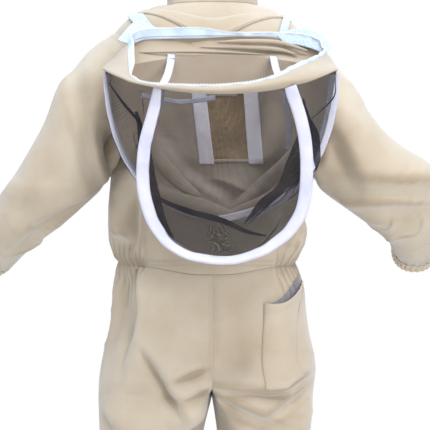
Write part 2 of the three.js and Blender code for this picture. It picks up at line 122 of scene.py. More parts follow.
def smoothstep(low, high, value):
    t = np.clip((value - low) / (high - low), 0.0, 1.0)
    return t * t * (3.0 - 2.0 * t)


def hump(value, middle, half):
    """A smooth hump: 1 at the middle, falling away over about half each way."""
    return np.exp(-(((value - middle) / half) ** 2))


def between(at, keys, rows):
    """A table's rows read at places between its keys."""
    return np.stack([np.interp(at, keys, column) for column in np.asarray(rows, float).T], -1)


def lengths_along(path):
    steps = np.linalg.norm(np.diff(path, axis=0), axis=1)
    return np.concatenate([[0], np.cumsum(steps)])


def oval(angle, power):
    c, s = np.cos(angle), np.sin(angle)
    return np.sign(c) * np.abs(c) ** (2 / power), np.sign(s) * np.abs(s) ** (2 / power)


# ---- noise, the same on every run ----
def lattice(i, j, k, seed):
    n = (i * 374761393 + j * 668265263 + k * 2147483647 + seed * 974711) & 0xFFFFFFFF
    n = ((n ^ (n >> 13)) * 1274126177) & 0xFFFFFFFF
    n = n ^ (n >> 16)
    return (n & 0xFFFF) / 32767.5 - 1.0


def noise(points, size, seed=0, stretch=(1, 1, 1)):
    """Smooth value noise from -1 to 1, its lumps about `size` metres across."""
    p = points / (size * np.array(stretch)) + 1000.0
    base = np.floor(p).astype(np.int64)
    f = p - base
    f = f * f * (3 - 2 * f)
    total = 0.0
    for corner in itertools.product((0, 1), repeat=3):
        weight = np.where(corner, f, 1 - f).prod(axis=-1)
        total = total + weight * lattice(*np.moveaxis(base + corner, -1, 0), seed)
    return total


def ridges(points, size, seed, stretch=(1, 1, 1)):
    """Sharp-crested folds from 0 to 1."""
    return (1 - np.abs(noise(points, size, seed, stretch))) ** 3


# ---- creases: straight folds seen from behind or in front, steep on one side ----
def creases(points, facing, lines):
    """facing is how far each point faces the side that the lines are drawn on, from 0 to 1."""
    total = np.zeros(points.shape[:-1])
    x, z = points[..., 0], points[..., 2]
    for x0, z0, x1, z1, width, height in lines:
        along = np.array([x1 - x0, z1 - z0])
        length = np.hypot(*along)
        ux, uz = along / length
        s = ((x - x0) * ux + (z - z0) * uz) / length
        d = ((x - x0) * uz - (z - z0) * ux) / width
        fade = smoothstep(-0.15, 0.40, s) * smoothstep(1.15, 0.60, s)
        profile = np.where(d > 0, np.exp(-d * d), np.exp(-((d / 2.8) ** 2)))
        profile = profile - 0.35 * np.exp(-1.4 * (d - 1.7) ** 2)
        total = total + height * fade * profile
    return total * facing


BACK_CREASES = [
    # x and z of one end, of the other end, width, height
    (0.124, -0.560, 0.122, -0.470, 0.009, 0.010),
    (0.146, -0.690, 0.124, -0.545, 0.012, 0.009),
    (0.122, -0.470, 0.120, -0.350, 0.010, 0.007),
    (0.034, -0.748, 0.112, -0.612, 0.010, 0.011),
    (0.008, -0.643, 0.078, -0.669, 0.009, 0.008),
    (-0.002, -0.678, 0.074, -0.708, 0.009, 0.009),
    (0.006, -0.716, 0.064, -0.765, 0.016, 0.010),
    (0.150, -0.768, 0.195, -0.718, 0.014, 0.007),
    (0.060, -0.790, 0.190, -0.840, 0.018, 0.006),
    (-0.140, -0.693, 0.012, -0.681, 0.009, 0.011),
    (-0.176, -0.664, -0.092, -0.698, 0.009, 0.009),
    (-0.128, -0.756, 0.012, -0.687, 0.010, 0.013),
    (-0.182, -0.676, -0.076, -0.746, 0.010, 0.009),
    (-0.060, -0.790, -0.012, -0.700, 0.014, 0.007),
    (0.150, -0.340, 0.165, -0.440, 0.014, 0.006),
    (0.135, -0.420, 0.185, -0.408, 0.012, 0.006),
    (-0.140, -0.470, -0.135, -0.380, 0.010, 0.008),
    (-0.158, -0.350, -0.150, -0.450, 0.010, 0.007),
    # armpits
    (0.178, -0.310, 0.188, -0.220, 0.014, -0.020),
    (-0.188, -0.230, -0.180, -0.290, 0.014, -0.012),
    # left sleeve
    (0.200, -0.110, 0.215, -0.250, 0.022, 0.006),
    (0.172, -0.287, 0.350, -0.415, 0.013, 0.011),
    (0.270, -0.085, 0.236, -0.350, 0.014, 0.006),
    (0.330, -0.405, 0.400, -0.455, 0.014, 0.006),
    (0.345, -0.330, 0.400, -0.400, 0.020, 0.004),
    # right sleeve
    (-0.262, -0.290, -0.205, -0.150, 0.024, 0.006),
    (-0.290, -0.335, -0.200, -0.195, 0.014, 0.009),
    (-0.440, -0.336, -0.222, -0.300, 0.016, 0.012),
    (-0.440, -0.362, -0.232, -0.346, 0.014, 0.008),
    (-0.330, -0.410, -0.220, -0.345, 0.016, 0.007),
    (-0.300, -0.200, -0.240, -0.120, 0.024, 0.002),
]
FRONT_CREASES = [
    (0.010, -0.700, 0.130, -0.640, 0.014, 0.008),
    (-0.010, -0.700, -0.130, -0.640, 0.014, 0.008),
    (0.015, -0.715, 0.150, -0.720, 0.013, 0.006),
    (-0.015, -0.715, -0.150, -0.720, 0.013, 0.006),
    (0.030, -0.740, 0.130, -0.830, 0.015, 0.006),
    (-0.030, -0.740, -0.130, -0.830, 0.015, 0.006),
    (0.160, -0.300, 0.090, -0.420, 0.018, 0.005),
    (-0.160, -0.300, -0.090, -0.420, 0.018, 0.005),
    (0.170, -0.180, 0.110, -0.280, 0.020, 0.005),
    (-0.170, -0.180, -0.110, -0.280, 0.020, 0.005),
    (0.200, -0.300, 0.320, -0.390, 0.018, 0.008),
    (-0.200, -0.300, -0.320, -0.370, 0.018, 0.008),
    (0.320, -0.350, 0.400, -0.440, 0.016, 0.008),
    (-0.320, -0.330, -0.390, -0.420, 0.016, 0.008),
]


# x, z, half width, half height and rise of each broad swell or hollow across the back
BACK_SWELLS = [
    (0.070, -0.610, 0.050, 0.060, 0.0140),
    (-0.085, -0.560, 0.040, 0.050, 0.0084),
    (-0.044, -0.636, 0.030, 0.030, -0.0182),
    (0.020, -0.560, 0.030, 0.060, -0.0042),
    (0.168, -0.530, 0.026, 0.060, -0.0140),
    (0.160, -0.650, 0.020, 0.050, 0.0098),
    (0.176, -0.385, 0.030, 0.040, 0.0098),
    (0.150, -0.330, 0.020, 0.070, -0.0112),
    (-0.150, -0.330, 0.020, 0.060, -0.0084),
    (0.110, -0.740, 0.050, 0.035, 0.0084),
    (-0.140, -0.750, 0.040, 0.030, 0.0112),
    (-0.030, -0.720, 0.018, 0.030, -0.0126),
    (0.070, -0.712, 0.022, 0.014, -0.0084),
]


def flank_steps(points):
    """The back panel laps a little over each flank, over broad swells and hollows."""
    x, z = points[..., 0], points[..., 2]
    left = smoothstep(0.126, 0.140, x) * smoothstep(-0.33, -0.38, z) * smoothstep(-0.70, -0.60, z)
    right = smoothstep(-0.126, -0.140, x) * smoothstep(-0.34, -0.38, z) * smoothstep(-0.52, -0.47, z)
    total = (-0.012 * left - 0.008 * right) * (1 - hump(z, WAIST_Z, 0.03))
    for swell_x, swell_z, half_x, half_z, rise in BACK_SWELLS:
        total = total + rise * hump(x, swell_x, half_x) * hump(z, swell_z, half_z)
    return total


def relief(points, normals):
    """How far the cloth stands out from its drawn shape: sag, soft folds and creases."""
    x, z = points[..., 0], points[..., 2]
    soft = 0.0045 * noise(points, 0.15, 3) + 0.0016 * noise(points, 0.055, 5)
    behind = smoothstep(0.05, 0.5, normals[..., 1])
    before = smoothstep(0.05, 0.5, -normals[..., 1])
    drawn = 2.0 * creases(points, behind, BACK_CREASES) + creases(points, before, FRONT_CREASES)
    drawn = drawn + flank_steps(points) * behind
    folds = 0.0035 * ridges(points, 0.085, 11, (1.7, 1.2, 0.7)) * (0.4 + 0.6 * noise(points, 0.2, 17))
    at_knee_and_ankle = hump(z, -1.03, 0.09) + hump(z, -1.33, 0.07)
    leg_folds = 0.007 * at_knee_and_ankle * ridges(points, 0.075, 23, (2.2, 1.5, 0.55))
    along_zip = before * (1 - smoothstep(0.012, 0.050, np.abs(x))) * (z > CROTCH_Z)
    return (soft + drawn + folds + leg_folds) * (1 - along_zip)


# ---- meshes ----
UP = np.array([0, 0, 1.0])
BEHIND = np.array([0, 1.0, 0])  # towards the hood


def unit(vectors):
    return vectors / np.maximum(np.linalg.norm(vectors, axis=-1, keepdims=True), 1e-12)


def raised(points, directions, lift):
    return points + directions * lift[..., None]


def smooth_path(points, count=40):
    """A rounded curve through a few given points."""
    points = np.asarray(points, float)
    padded = np.concatenate([[2 * points[0] - points[1]], points, [2 * points[-1] - points[-2]]])
    t = np.linspace(0, 1, count, endpoint=False)
    weights = np.stack([
        -0.5 * t ** 3 + t ** 2 - 0.5 * t,
        1.5 * t ** 3 - 2.5 * t ** 2 + 1,
        -1.5 * t ** 3 + 2 * t ** 2 + 0.5 * t,
        0.5 * t ** 3 - 0.5 * t ** 2,
    ], -1)
    spans = [weights @ padded[i - 1:i + 3] for i in range(1, len(padded) - 2)]
    return np.concatenate([*spans, points[-1:]])


def outward(points, closed, away_from):
    """Unit normals of a grid, turned away from the given inner points."""
    across = np.roll(points, -1, 1) - np.roll(points, 1, 1) if closed else np.gradient(points, axis=1)
    normals = unit(np.cross(across, np.gradient(points, axis=0)))
    inwards = np.sum(normals * (points - away_from), axis=-1).mean() < 0
    return -normals if inwards else normals


def make_object(name, vertices, faces, uvs=None):
    mesh = bpy.data.meshes.new(name)
    mesh.from_pydata([tuple(map(float, v)) for v in vertices], [], faces)
    if uvs is not None:
        layer = mesh.uv_layers.new(name="cloth")
        loops = np.empty(len(mesh.loops), dtype=np.int32)
        mesh.loops.foreach_get("vertex_index", loops)
        layer.data.foreach_set("uv", np.asarray(uvs, dtype=np.float32)[loops].ravel())
    mesh.polygons.foreach_set("use_smooth", [True] * len(mesh.polygons))
    mesh.update()
    piece = bpy.data.objects.new(name, mesh)
    bpy.context.scene.collection.objects.link(piece)
    return piece


def grid_object(name, points, closed=False, keep=None):
    """A sheet through a grid of points. keep marks the points whose faces stay."""
    rows, columns = points.shape[:2]
    span = columns if closed else columns - 1
    i, j = np.meshgrid(np.arange(rows - 1), np.arange(span), indexing="ij")
    a = i * columns + j
    b = i * columns + (j + 1) % columns
    quads = np.stack([a, b, b + columns, a + columns], -1).reshape(-1, 4)
    if keep is not None:
        quads = quads[keep.ravel()[quads].all(axis=1)]
    used = np.unique(quads)
    new_index = np.full(rows * columns, -1)
    new_index[used] = np.arange(len(used))
    step_across = np.linalg.norm(np.diff(points, axis=1), axis=-1).mean()
    step_down = np.linalg.norm(np.diff(points, axis=0), axis=-1).mean(axis=1)
    u = np.tile(np.arange(columns) * step_across, (rows, 1))
    v = np.tile(np.concatenate([[0], np.cumsum(step_down)])[:, None], (1, columns))
    uvs = np.stack([u, v], -1).reshape(-1, 2)[used]
    return make_object(name, points.reshape(-1, 3)[used], new_index[quads].tolist(), uvs)


def thicken(piece, thickness, offset=-1.0):
    """Gives a sheet its real thickness and closes its edges."""
    solid = piece.modifiers.new("thickness", "SOLIDIFY")
    solid.thickness = thickness
    solid.offset = offset
    solid.use_even_offset = False
    apply_modifiers(piece)
    return piece


def apply_modifiers(piece):
    graph = bpy.context.evaluated_depsgraph_get()
    done = bpy.data.meshes.new_from_object(piece.evaluated_get(graph))
    old = piece.data
    piece.modifiers.clear()
    piece.data = done
    bpy.data.meshes.remove(old)


def ribbon_object(name, path, across, width, thickness):
    """A flat tape along a path: across is its width's direction, one for all or one for each point."""
    across = np.broadcast_to(unit(np.asarray(across)), path.shape)
    width = np.broadcast_to(width, len(path))
    sides = np.linspace(-0.5, 0.5, 5)[None, :]
    points = raised(path[:, None, :], across[:, None, :], sides * width[:, None])
    return thicken(grid_object(name, points), thickness, 0.0)


def stations(path, normals, pitch):
    """Even steps along a path, and the directions there: along it, out of the cloth and across."""
    lengths = lengths_along(path)
    count = max(int(lengths[-1] / pitch) + 1, 2)
    points = between(np.linspace(0, lengths[-1], count), lengths, path)
    normals = np.broadcast_to(normals, path.shape)
    out = unit(between(np.linspace(0, 1, count), np.linspace(0, 1, len(path)), normals))
    along = unit(np.gradient(points, axis=0))
    return points, along, out, np.cross(out, along)


def stitches_object(name, path, normals, side, pitch=0.0034, length=0.0024, width=0.0007):
    """A row of thread stitches beside a path, lying on the cloth."""
    points, along, out, cross = stations(path, normals, pitch)
    points = points + cross * side
    # each stitch is a six-sided loop: its place along, across and above the cloth
    loop = ((-0.5, 0, 0), (-0.2, -0.5, 0.6), (0.2, -0.5, 0.6), (0.5, 0, 0), (0.2, 0.5, 0.6), (-0.2, 0.5, 0.6))
    vertices, faces = [], []
    for p, t, n, c in zip(points, along, out, cross):
        ring = range(len(vertices), len(vertices) + 6)
        vertices.extend(p + t * s * length + c * w * width + n * h * width for s, w, h in loop)
        vertices.append(p - n * 0.4 * width)
        faces.append(list(ring))
        faces.extend([ring[(k + 1) % 6], ring[k], ring[-1] + 1] for k in range(6))
    return make_object(name, vertices, faces)


def teeth_object(name, path, normals, pitch, width, length, height):
    """Interlocked moulded teeth along a path, alternate teeth from alternate sides."""
    foot = ((-0.25, -0.5), (0.75, -0.32), (0.75, 0.32), (-0.25, 0.5))
    crown = ((-0.2, -0.34), (0.65, -0.22), (0.65, 0.22), (-0.2, 0.34))
    vertices, faces = [], []
    for index, (p, t, n, c) in enumerate(zip(*stations(path, normals, pitch))):
        turn = 1 if index % 2 else -1
        first = len(vertices)
        for rise, corners in ((0, foot), (height, crown)):
            vertices.extend(p + c * turn * w * width + t * s * length + n * rise for w, s in corners)
        sides = [[first + k, first + (k + 1) % 4, first + 4 + (k + 1) % 4, first + 4 + k] for k in range(4)]
        faces.extend([*sides, [first + k for k in (4, 5, 6, 7)], [first + k for k in (3, 2, 1, 0)]])
    piece = make_object(name, vertices, faces)
    piece.data.polygons.foreach_set("use_smooth", [False] * len(piece.data.polygons))
    return piece


# ---- torso ----
torso_along = lengths_along(TORSO[:, :2])
dense_along = np.linspace(0, torso_along[-1], 600)
dense_torso = np.stack([eased(torso_along, column, dense_along, 0.03) for column in TORSO.T], -1)
waist_along = np.interp(-WAIST_Z, -dense_torso[:, 0], dense_along)


def torso_reach(z, x, y):
    """The torso's half width and half depth at height z, on the sides that x and y are on."""
    left, right, front, back = np.moveaxis(between(-z, -dense_torso[:, 0], dense_torso[:, 1:]), -1, 0)
    return np.where(x > 0, left, right), np.where(y > 0, back, front)


def torso_ring(z, angle):
    """Points of the torso at height z; angle 0 is the wearer's left side and a quarter turn the back."""
    x, y = oval(angle, TORSO_POWER)
    half_x, half_y = torso_reach(z, x, y)
    return np.stack(np.broadcast_arrays(x * half_x, y * half_y, z), -1)


def torso_level(points):
    """Under 1 inside the torso, over 1 outside it."""
    x, y, z = np.moveaxis(points, -1, 0)
    half_x, half_y = torso_reach(z, x, y)
    level = (np.abs(x / half_x) ** TORSO_POWER + np.abs(y / half_y) ** TORSO_POWER) ** (1 / TORSO_POWER)
    return np.where(z > 0, 9.0, level)


# ---- sleeves ----
class Limb:
    """An oval tube along a bent centre line, its place along it running from 0 to 1."""

    def __init__(self, table):
        keys = lengths_along(table[:, :3])
        self.length = keys[-1]
        self.at = np.linspace(0, self.length, 300)
        self.values = np.stack([eased(keys, column, self.at, 0.045) for column in table.T], -1)
        along = unit(np.gradient(self.values[:, :3], axis=0))
        deep = unit(np.array([0, 1.0, 0]) - along * along[:, 1:2])
        self.axes = np.concatenate([np.cross(along, deep), deep, along], axis=1)

    def frame(self, place):
        """At a place: the centre, the wide and deep directions, the half width and half depth."""
        values = between(place * self.length, self.at, self.values)
        axes = between(place * self.length, self.at, self.axes)
        return values[..., :3], axes[..., :3], axes[..., 3:6], values[..., 3], values[..., 4]

    def surface(self, place, angle):
        centre, wide, deep, across, depth = self.frame(place)
        u, v = oval(angle, LIMB_POWER)
        return centre + wide * (u * across)[..., None] + deep * (v * depth)[..., None]

    def inside(self, points, margin):
        """True for points that lie inside the tube by more than the margin."""
        flat = points.reshape(-1, 3)
        centre, wide, deep, across, depth = self.frame(np.linspace(0, 0.45, 60))
        nearest = np.argmin(((flat[:, None, :] - centre[None]) ** 2).sum(-1), axis=1)
        offset = flat - centre[nearest]
        before_start = (nearest == 0) & ((offset * self.axes[0, 6:9]).sum(-1) < -0.004)
        u = (offset * wide[nearest]).sum(-1) / (across[nearest] - margin)
        v = (offset * deep[nearest]).sum(-1) / (depth[nearest] - margin)
        within = np.abs(u) ** LIMB_POWER + np.abs(v) ** LIMB_POWER < 1
        return (within & ~before_start).reshape(points.shape[:-1])


def armhole_start(limb, angles):
    """Where along the tube each of its sides leaves the torso."""
    place = np.linspace(0.0, 0.6, 400)
    grid = limb.surface(place[:, None], angles[None, :])
    inside = torso_level(grid) < 1
    last = inside.shape[0] - 1 - np.argmax(inside[::-1], axis=0)
    start = np.where(inside.any(axis=0), place[last], 0.0)
    kernel = np.ones(9) / 9
    return np.convolve(np.concatenate([start[-4:], start, start[:4]]), kernel, "valid")


SLEEVE_TUCK = 0.022  # how far a sleeve's head runs on inside the armhole, as a share of its length
SLEEVE_GATHERS, LEG_GATHERS = 26, 30  # small pleats round an end, where its cuff draws it in
CUFF_LENGTH = 0.026


def build_sleeve(name, limb):
    """A sleeve from inside its armhole to its cuff, with its seam's points and normals."""
    columns = int(0.5 / STEP)
    rows = int(0.50 / STEP)
    angles = np.linspace(0, 2 * math.pi, columns, endpoint=False)
    start = armhole_start(limb, angles)
    first = np.maximum(start - SLEEVE_TUCK, 0.0)[None, :]
    along = np.linspace(0, 1, rows)[:, None]
    place = first + (1 - first) * along
    points = limb.surface(place, angles[None, :])
    normals = outward(points, True, limb.frame(place)[0])
    free = smoothstep(0.0, 0.035, (place - start[None, :]) * limb.length)
    lift = relief(points, normals) + 0.004 * smoothstep(0, 0.12, along)
    lift = lift + 0.006 * hump(place, 0.72, 0.09) * ridges(points, 0.05, 31)  # folds at the elbow
    near_cuff = smoothstep(0.90, 1.0, along)
    gathers = np.cos(angles * SLEEVE_GATHERS + 1.5 * np.sin(angles * 3))[None, :]
    lift = lift * (1 - near_cuff) + near_cuff * (0.0022 * gathers)
    points = raised(points, normals, lift * free)
    seam_row = int(round(SLEEVE_TUCK / (1 - start.mean() + SLEEVE_TUCK) * rows))
    return grid_object(name, points, closed=True), points[seam_row], normals[seam_row]


def build_cuff(name, end, wide, deep, along, half_wide, half_deep, ribs):
    """An elastic band, shirred in three channels and ruffled over its elastic."""
    angles = np.linspace(0, 2 * math.pi, 240, endpoint=False)[None, :]
    t = np.linspace(0, 1, 16)[:, None]
    ruffle = 0.0011 * np.cos(angles * ribs + 2 * np.sin(2 * angles))
    channels = 0.0009 * np.cos(t * 2 * math.pi * 3)
    radial = ruffle * (0.6 + 0.4 * np.sin(t * math.pi)) - channels
    u, v = oval(angles, LIMB_POWER)
    taper = 1 - 0.03 * t
    x = u * (half_wide * taper) + np.cos(angles) * radial
    y = v * (half_deep * taper) + np.sin(angles) * radial
    points = end + wide * x[..., None] + deep * y[..., None] + along * (t * CUFF_LENGTH)[..., None]
    return thicken(grid_object(name, points, closed=True), 0.0022)


# ---- bodice ----
def bodice_panel(name, first_angle, last_angle, limbs):
    """A panel from the neck to the waist seam, cut away where the sleeves enter it."""
    rows = int(waist_along / STEP)
    columns = int(abs(last_angle - first_angle) * 0.15 / STEP)
    angles = np.linspace(first_angle, last_angle, columns)
    hem_ring = torso_ring(np.full(columns, WAIST_Z), angles)
    foot = waist_along + waist_drop(hem_ring[:, 0], hem_ring[:, 1])[None, :]
    along = np.linspace(0, 1, rows)[:, None] * foot
    points = torso_ring(np.interp(along, dense_along, dense_torso[:, 0]), angles[None, :])
    normals = outward(points, False, points * UP)
    lift = relief(points, normals) * smoothstep(0.0, 0.02, along) + waist_gathers(points)
    points = raised(points, normals, lift)
    keep = ~np.any([limb.inside(points, 0.008) for limb in limbs], axis=0)
    return grid_object(name, points, keep=keep)


def waist_drop(x, y):
    """How far the waist seam hangs below its lowest point in front, across the back."""
    behind = smoothstep(0.0, 0.05, y)
    return behind * (0.006 + 0.014 * smoothstep(0.13, 0.02, np.abs(x)))


def waist_gathers(points):
    """Pleats over the elastic at each side of the waist, pulled in on the line and puffed beyond it."""
    x, y, z = np.moveaxis(points, -1, 0)
    side = smoothstep(0.105, 0.125, np.abs(x))
    from_line = z - WAIST_Z + waist_drop(x, y)
    along = np.arctan2(y, np.abs(x)) * 0.16
    wander = 0.004 * noise(points, 0.04, 41)
    pleats = np.cos(2 * math.pi * (along + wander + 0.0012 * np.sin(from_line * 90)) / 0.0125)
    pleats = pleats * (0.0032 * hump(from_line, 0, 0.024) + 0.0020 * hump(from_line, 0, 0.050))
    pull = -0.006 * hump(from_line, 0, 0.010)
    puff = 0.004 * hump(from_line, -0.045, 0.024) + 0.004 * hump(from_line, 0.040, 0.022)
    seam = -0.0012 * hump(from_line, 0, 0.003)
    return side * (pleats + pull + puff) + seam


# ---- trousers ----
OUTER_SHARE = 0.68  # the part of each half's girth that lies outside, from the back centre to the front
POCKET_POINT = 0.006  # how far a pocket's foot dips at its middle


def trouser_ring(z, k, side):
    """Points round one trouser half; k runs 0 to 1 from the back centre round the outer side and in."""
    sign = 1.0 if side == "left" else -1.0
    outer = np.clip(k / OUTER_SHARE, 0, 1)
    inner = np.clip((k - OUTER_SHARE) / (1 - OUTER_SHARE), 0, 1)
    angle = math.pi / 2 - math.pi * outer
    hips = torso_ring(np.maximum(z, TORSO[-1, 0]), angle if sign > 0 else math.pi - angle)
    hips[..., 2] = np.broadcast_to(z, hips.shape[:-1])
    front = hips[..., 1] * (inner > 0) * (1 - 2 * inner)
    seat = hips.copy()
    seat[..., 0] = np.where(inner > 0, sign * SEAM_GAP / 2, seat[..., 0])
    seat[..., 1] = np.where(inner > 0, front, seat[..., 1])
    heights = -LEG[:, 0]
    sizes = [eased(heights, LEG[:, i], np.clip(-z, heights[0], heights[-1]), 0.05) for i in (1, 2, 3)]
    tuck = 0.55  # how far past the leg's front and back the outer part wraps, as an angle
    leg_angle = np.where(
        inner > 0,
        -math.pi / 2 - tuck - (math.pi - 2 * tuck) * inner,
        math.pi / 2 + tuck - (math.pi + 2 * tuck) * outer,
    )
    u, v = oval(leg_angle, LIMB_POWER)
    x = LEG_X[side] + sign * u * sizes[1] * LEG_FULLNESS[side]
    y = sizes[0] + v * sizes[2]
    leg = np.stack(np.broadcast_arrays(x, y, z), -1)
    mix = smoothstep(0.0, 1.0, np.clip((CROTCH_Z + 0.012 - z) / 0.115, 0, 1))[..., None]
    return seat * (1 - mix) + leg * mix


def trouser_half(name, side):
    rows = int(0.93 / STEP)
    columns = int(0.66 / STEP)
    k = np.linspace(0, 1, columns, endpoint=False)[None, :]
    waist_ring = trouser_ring(np.full_like(k, WAIST_Z), k, side)[0]
    top_z = WAIST_Z - SEAM_GAP - waist_drop(waist_ring[:, 0], waist_ring[:, 1])[None, :]
    z = top_z + (LEG[-1, 0] - top_z) * np.linspace(0, 1, rows)[:, None]
    z, k = np.broadcast_arrays(z, k)
    points = trouser_ring(z, k, side)
    normals = outward(points, True, points.mean(axis=1, keepdims=True))
    above_crotch = z > CROTCH_Z + 0.004
    inner_wall = (k > OUTER_SHARE) & above_crotch
    centre = (np.abs(points[..., 0]) < 0.008) & ~inner_wall & above_crotch
    normals = np.where(centre[..., None], unit(normals * np.array([0, 1.0, 1.0])), normals)
    cuff = smoothstep(LEG[-1, 0] + 0.05, LEG[-1, 0], z)
    gathers = 0.0024 * np.cos(k * 2 * math.pi * LEG_GATHERS + 1.5 * np.sin(k * 19))
    seam_groove = -0.0022 * hump(points[..., 0], 0, 0.0045) * (z > CROTCH_Z - 0.01)
    lift = relief(points, normals) * (1 - cuff) + waist_gathers(points) + cuff * gathers
    lift = lift + seam_groove * smoothstep(0.0, 0.012, top_z - z)
    points = raised(points, normals, np.where(inner_wall, 0.0, lift))
    return grid_object(name, points, closed=True, keep=~inner_wall)


def drawn_depth(x, z, behind):
    """The torso's y at x and z, on its rear or front, before any folds."""
    facing = 1 if behind else -1
    half_x, half_y = torso_reach(z, x, facing)
    ratio = np.clip(np.abs(x) / half_x, 0, 0.995)
    return facing * half_y * (1 - ratio ** TORSO_POWER) ** (1 / TORSO_POWER)


def cloth_surface(x, z, behind, offset):
    """Points on the torso's cloth at x and z, with its own folds, and the normals there."""
    x, z = np.broadcast_arrays(np.asarray(x, float), np.asarray(z, float))
    step = 0.002
    slope_x = (drawn_depth(x + step, z, behind) - drawn_depth(x - step, z, behind)) / (2 * step)
    slope_z = (drawn_depth(x, z + step, behind) - drawn_depth(x, z - step, behind)) / (2 * step)
    normals = unit(np.stack([-slope_x, np.ones_like(x), -slope_z], -1)) * (1 if behind else -1)
    points = np.stack([x, drawn_depth(x, z, behind), z], -1)
    return raised(points, normals, relief(points, normals) + waist_gathers(points) + offset), normals


def patch_pocket(name, corners, behind, gape, dip=0.0):
    """A sewn patch between four corners: top inner, top outer, bottom outer, bottom inner."""
    top_in, top_out, low_out, low_in = np.array(corners)
    columns, rows = int(0.09 / (STEP * 0.7)), int(0.16 / (STEP * 0.7))
    u = np.linspace(0, 1, columns)[None, :]
    v = np.linspace(0, 1, rows)[:, None]
    top = top_in + (top_out - top_in) * u[..., None]
    low = low_in + (low_out - low_in) * u[..., None]
    flat = top * (1 - v[..., None]) + low * v[..., None]
    x = flat[..., 0]
    pointed_foot = POCKET_POINT * v * (1 - np.abs(2 * u - 1))
    z = flat[..., 1] - pointed_foot - dip * (1 - v) ** 2 * np.sin(u * math.pi)
    bulge = np.sin(math.pi * u) ** 0.8
    hem = 0.0011 * np.exp(-((v / 0.10) ** 4))
    sag = 0.0018 * noise(np.stack([x, x * 0, z], -1), 0.04, 71) * bulge
    offset = 0.0014 + gape * bulge * (1 - v) ** 1.5 + 0.0028 * bulge + hem + sag
    points, normals = cloth_surface(x, z, behind, offset)
    return thicken(grid_object(name, points), 0.0012, 1.0), points, normals


def collar():
    """The stand collar, open in front at the zip."""
    gap = 0.035
    angles = np.linspace(-math.pi / 2 + gap, 1.5 * math.pi - gap, 260)[None, :]
    t = np.linspace(0, 1, 26)[:, None]
    top_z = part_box("stand_collar")[1][2]
    u, v = oval(angles, LIMB_POWER)
    half_x = 0.084 - 0.004 * t + 0.0012 * np.sin(t * math.pi)
    half_y = np.where(v > 0, 0.066 - 0.002 * t, 0.075 - 0.005 * t)
    points = np.stack(np.broadcast_arrays(u * half_x, v * half_y, SEAM_GAP + t * top_z), -1)
    normals = outward(points, False, points * UP)
    lift = 0.0016 * noise(points, 0.05, 81) + 0.0010 * ridges(points, 0.03, 83)
    return thicken(grid_object("collar_cloth", raised(points, normals, lift * smoothstep(0, 0.2, t))), 0.0026)


# ---- hood curves, in its rest place behind the shoulders ----
HOOD_X = -0.018

# x and z of the front hoop, from its left end round the bottom to its right end
FRONT_U = np.array([
    (0.085, -0.176),
    (0.097, -0.221),
    (0.110, -0.269),
    (0.114, -0.320),
    (0.110, -0.357),
    (0.097, -0.396),
    (0.072, -0.430),
    (0.034, -0.452),
    (-0.018, -0.460),
    (-0.052, -0.455),
    (-0.092, -0.439),
    (-0.130, -0.408),
    (-0.150, -0.370),
    (-0.156, -0.320),
    (-0.154, -0.269),
    (-0.145, -0.224),
    (-0.128, -0.174),
])


def front_hoop_curve(s):
    """The front hoop's U: s runs -1 to 1 from its left end, round the bottom, to its right end."""
    path = smooth_path(FRONT_U, 20)
    at = lengths_along(path)
    bottom = np.interp(0.5, np.linspace(0, 1, len(at)), at)
    keys = np.where(at < bottom, at / bottom - 1, (at - bottom) / (at[-1] - bottom))
    x, z = np.moveaxis(between(s, keys, path), -1, 0)
    return np.stack([x, 0.305 + 0.012 * np.abs(s) ** 3, z], -1)


def crown_hoop_curve(s):
    """The crown hoop's wider U, nearer the wearer's back."""
    turn = -s * math.radians(91)
    x = -0.014 + 0.194 * np.sign(np.sin(turn)) * np.abs(np.sin(turn)) ** 0.92
    z = -0.150 - 0.238 * np.abs(np.cos(turn)) ** 0.95 * np.sign(np.cos(turn))
    y = 0.214 + 0.19 * (z + 0.150)
    return np.stack([x, y, z], -1)


# the hood's neck edge, from the wearer's left end round the side nearest the viewer behind
RIM = np.array([
    (0.146, 0.150, -0.086),
    (0.143, 0.215, -0.117),
    (0.138, 0.280, -0.152),
    (0.118, 0.318, -0.170),
    (0.070, 0.331, -0.175),
    (0.000, 0.334, -0.177),
    (-0.060, 0.328, -0.172),
    (-0.106, 0.312, -0.160),
    (-0.140, 0.280, -0.141),
    (-0.172, 0.238, -0.124),
    (-0.194, 0.192, -0.108),
    (-0.186, 0.140, -0.082),
    (-0.152, 0.112, -0.070),
    (-0.090, 0.104, -0.066),
    (-0.010, 0.102, -0.065),
    (0.070, 0.104, -0.066),
    (0.125, 0.114, -0.069),
])


def rim_curve(angle):
    """The hood's neck edge; a quarter turn is the veil side, nearest the viewer behind."""
    loop = np.concatenate([RIM[-3:], RIM, RIM[:4]])
    turns = np.arctan2((loop[:, 1] - 0.216) / 0.112, (loop[:, 0] - HOOD_X) / 0.170) / (2 * math.pi)
    turns = np.unwrap(turns, period=1.0)
    fine = np.linspace(turns[0], turns[-1], 400)
    kernel = np.hanning(17) / np.hanning(17).sum()
    curve = [np.convolve(column, kernel, "same") for column in between(fine, turns, loop).T]
    place = (angle / (2 * math.pi)) % 1.0
    return between(turns[3] + (place - turns[3]) % 1.0, fine, np.transpose(curve))


def seam_curve(angle):
    """The seam between the yoke and the net or cloth below it."""
    u, v = oval(angle, 2.2)
    x = -0.015 + 0.197 * u
    y = 0.222 + np.where(v > 0, 0.110, 0.103) * v
    z = -0.138 - np.where(v > 0, 0.048 * v ** 2, -0.034 * v ** 2)
    return np.stack([x, y, z], -1)


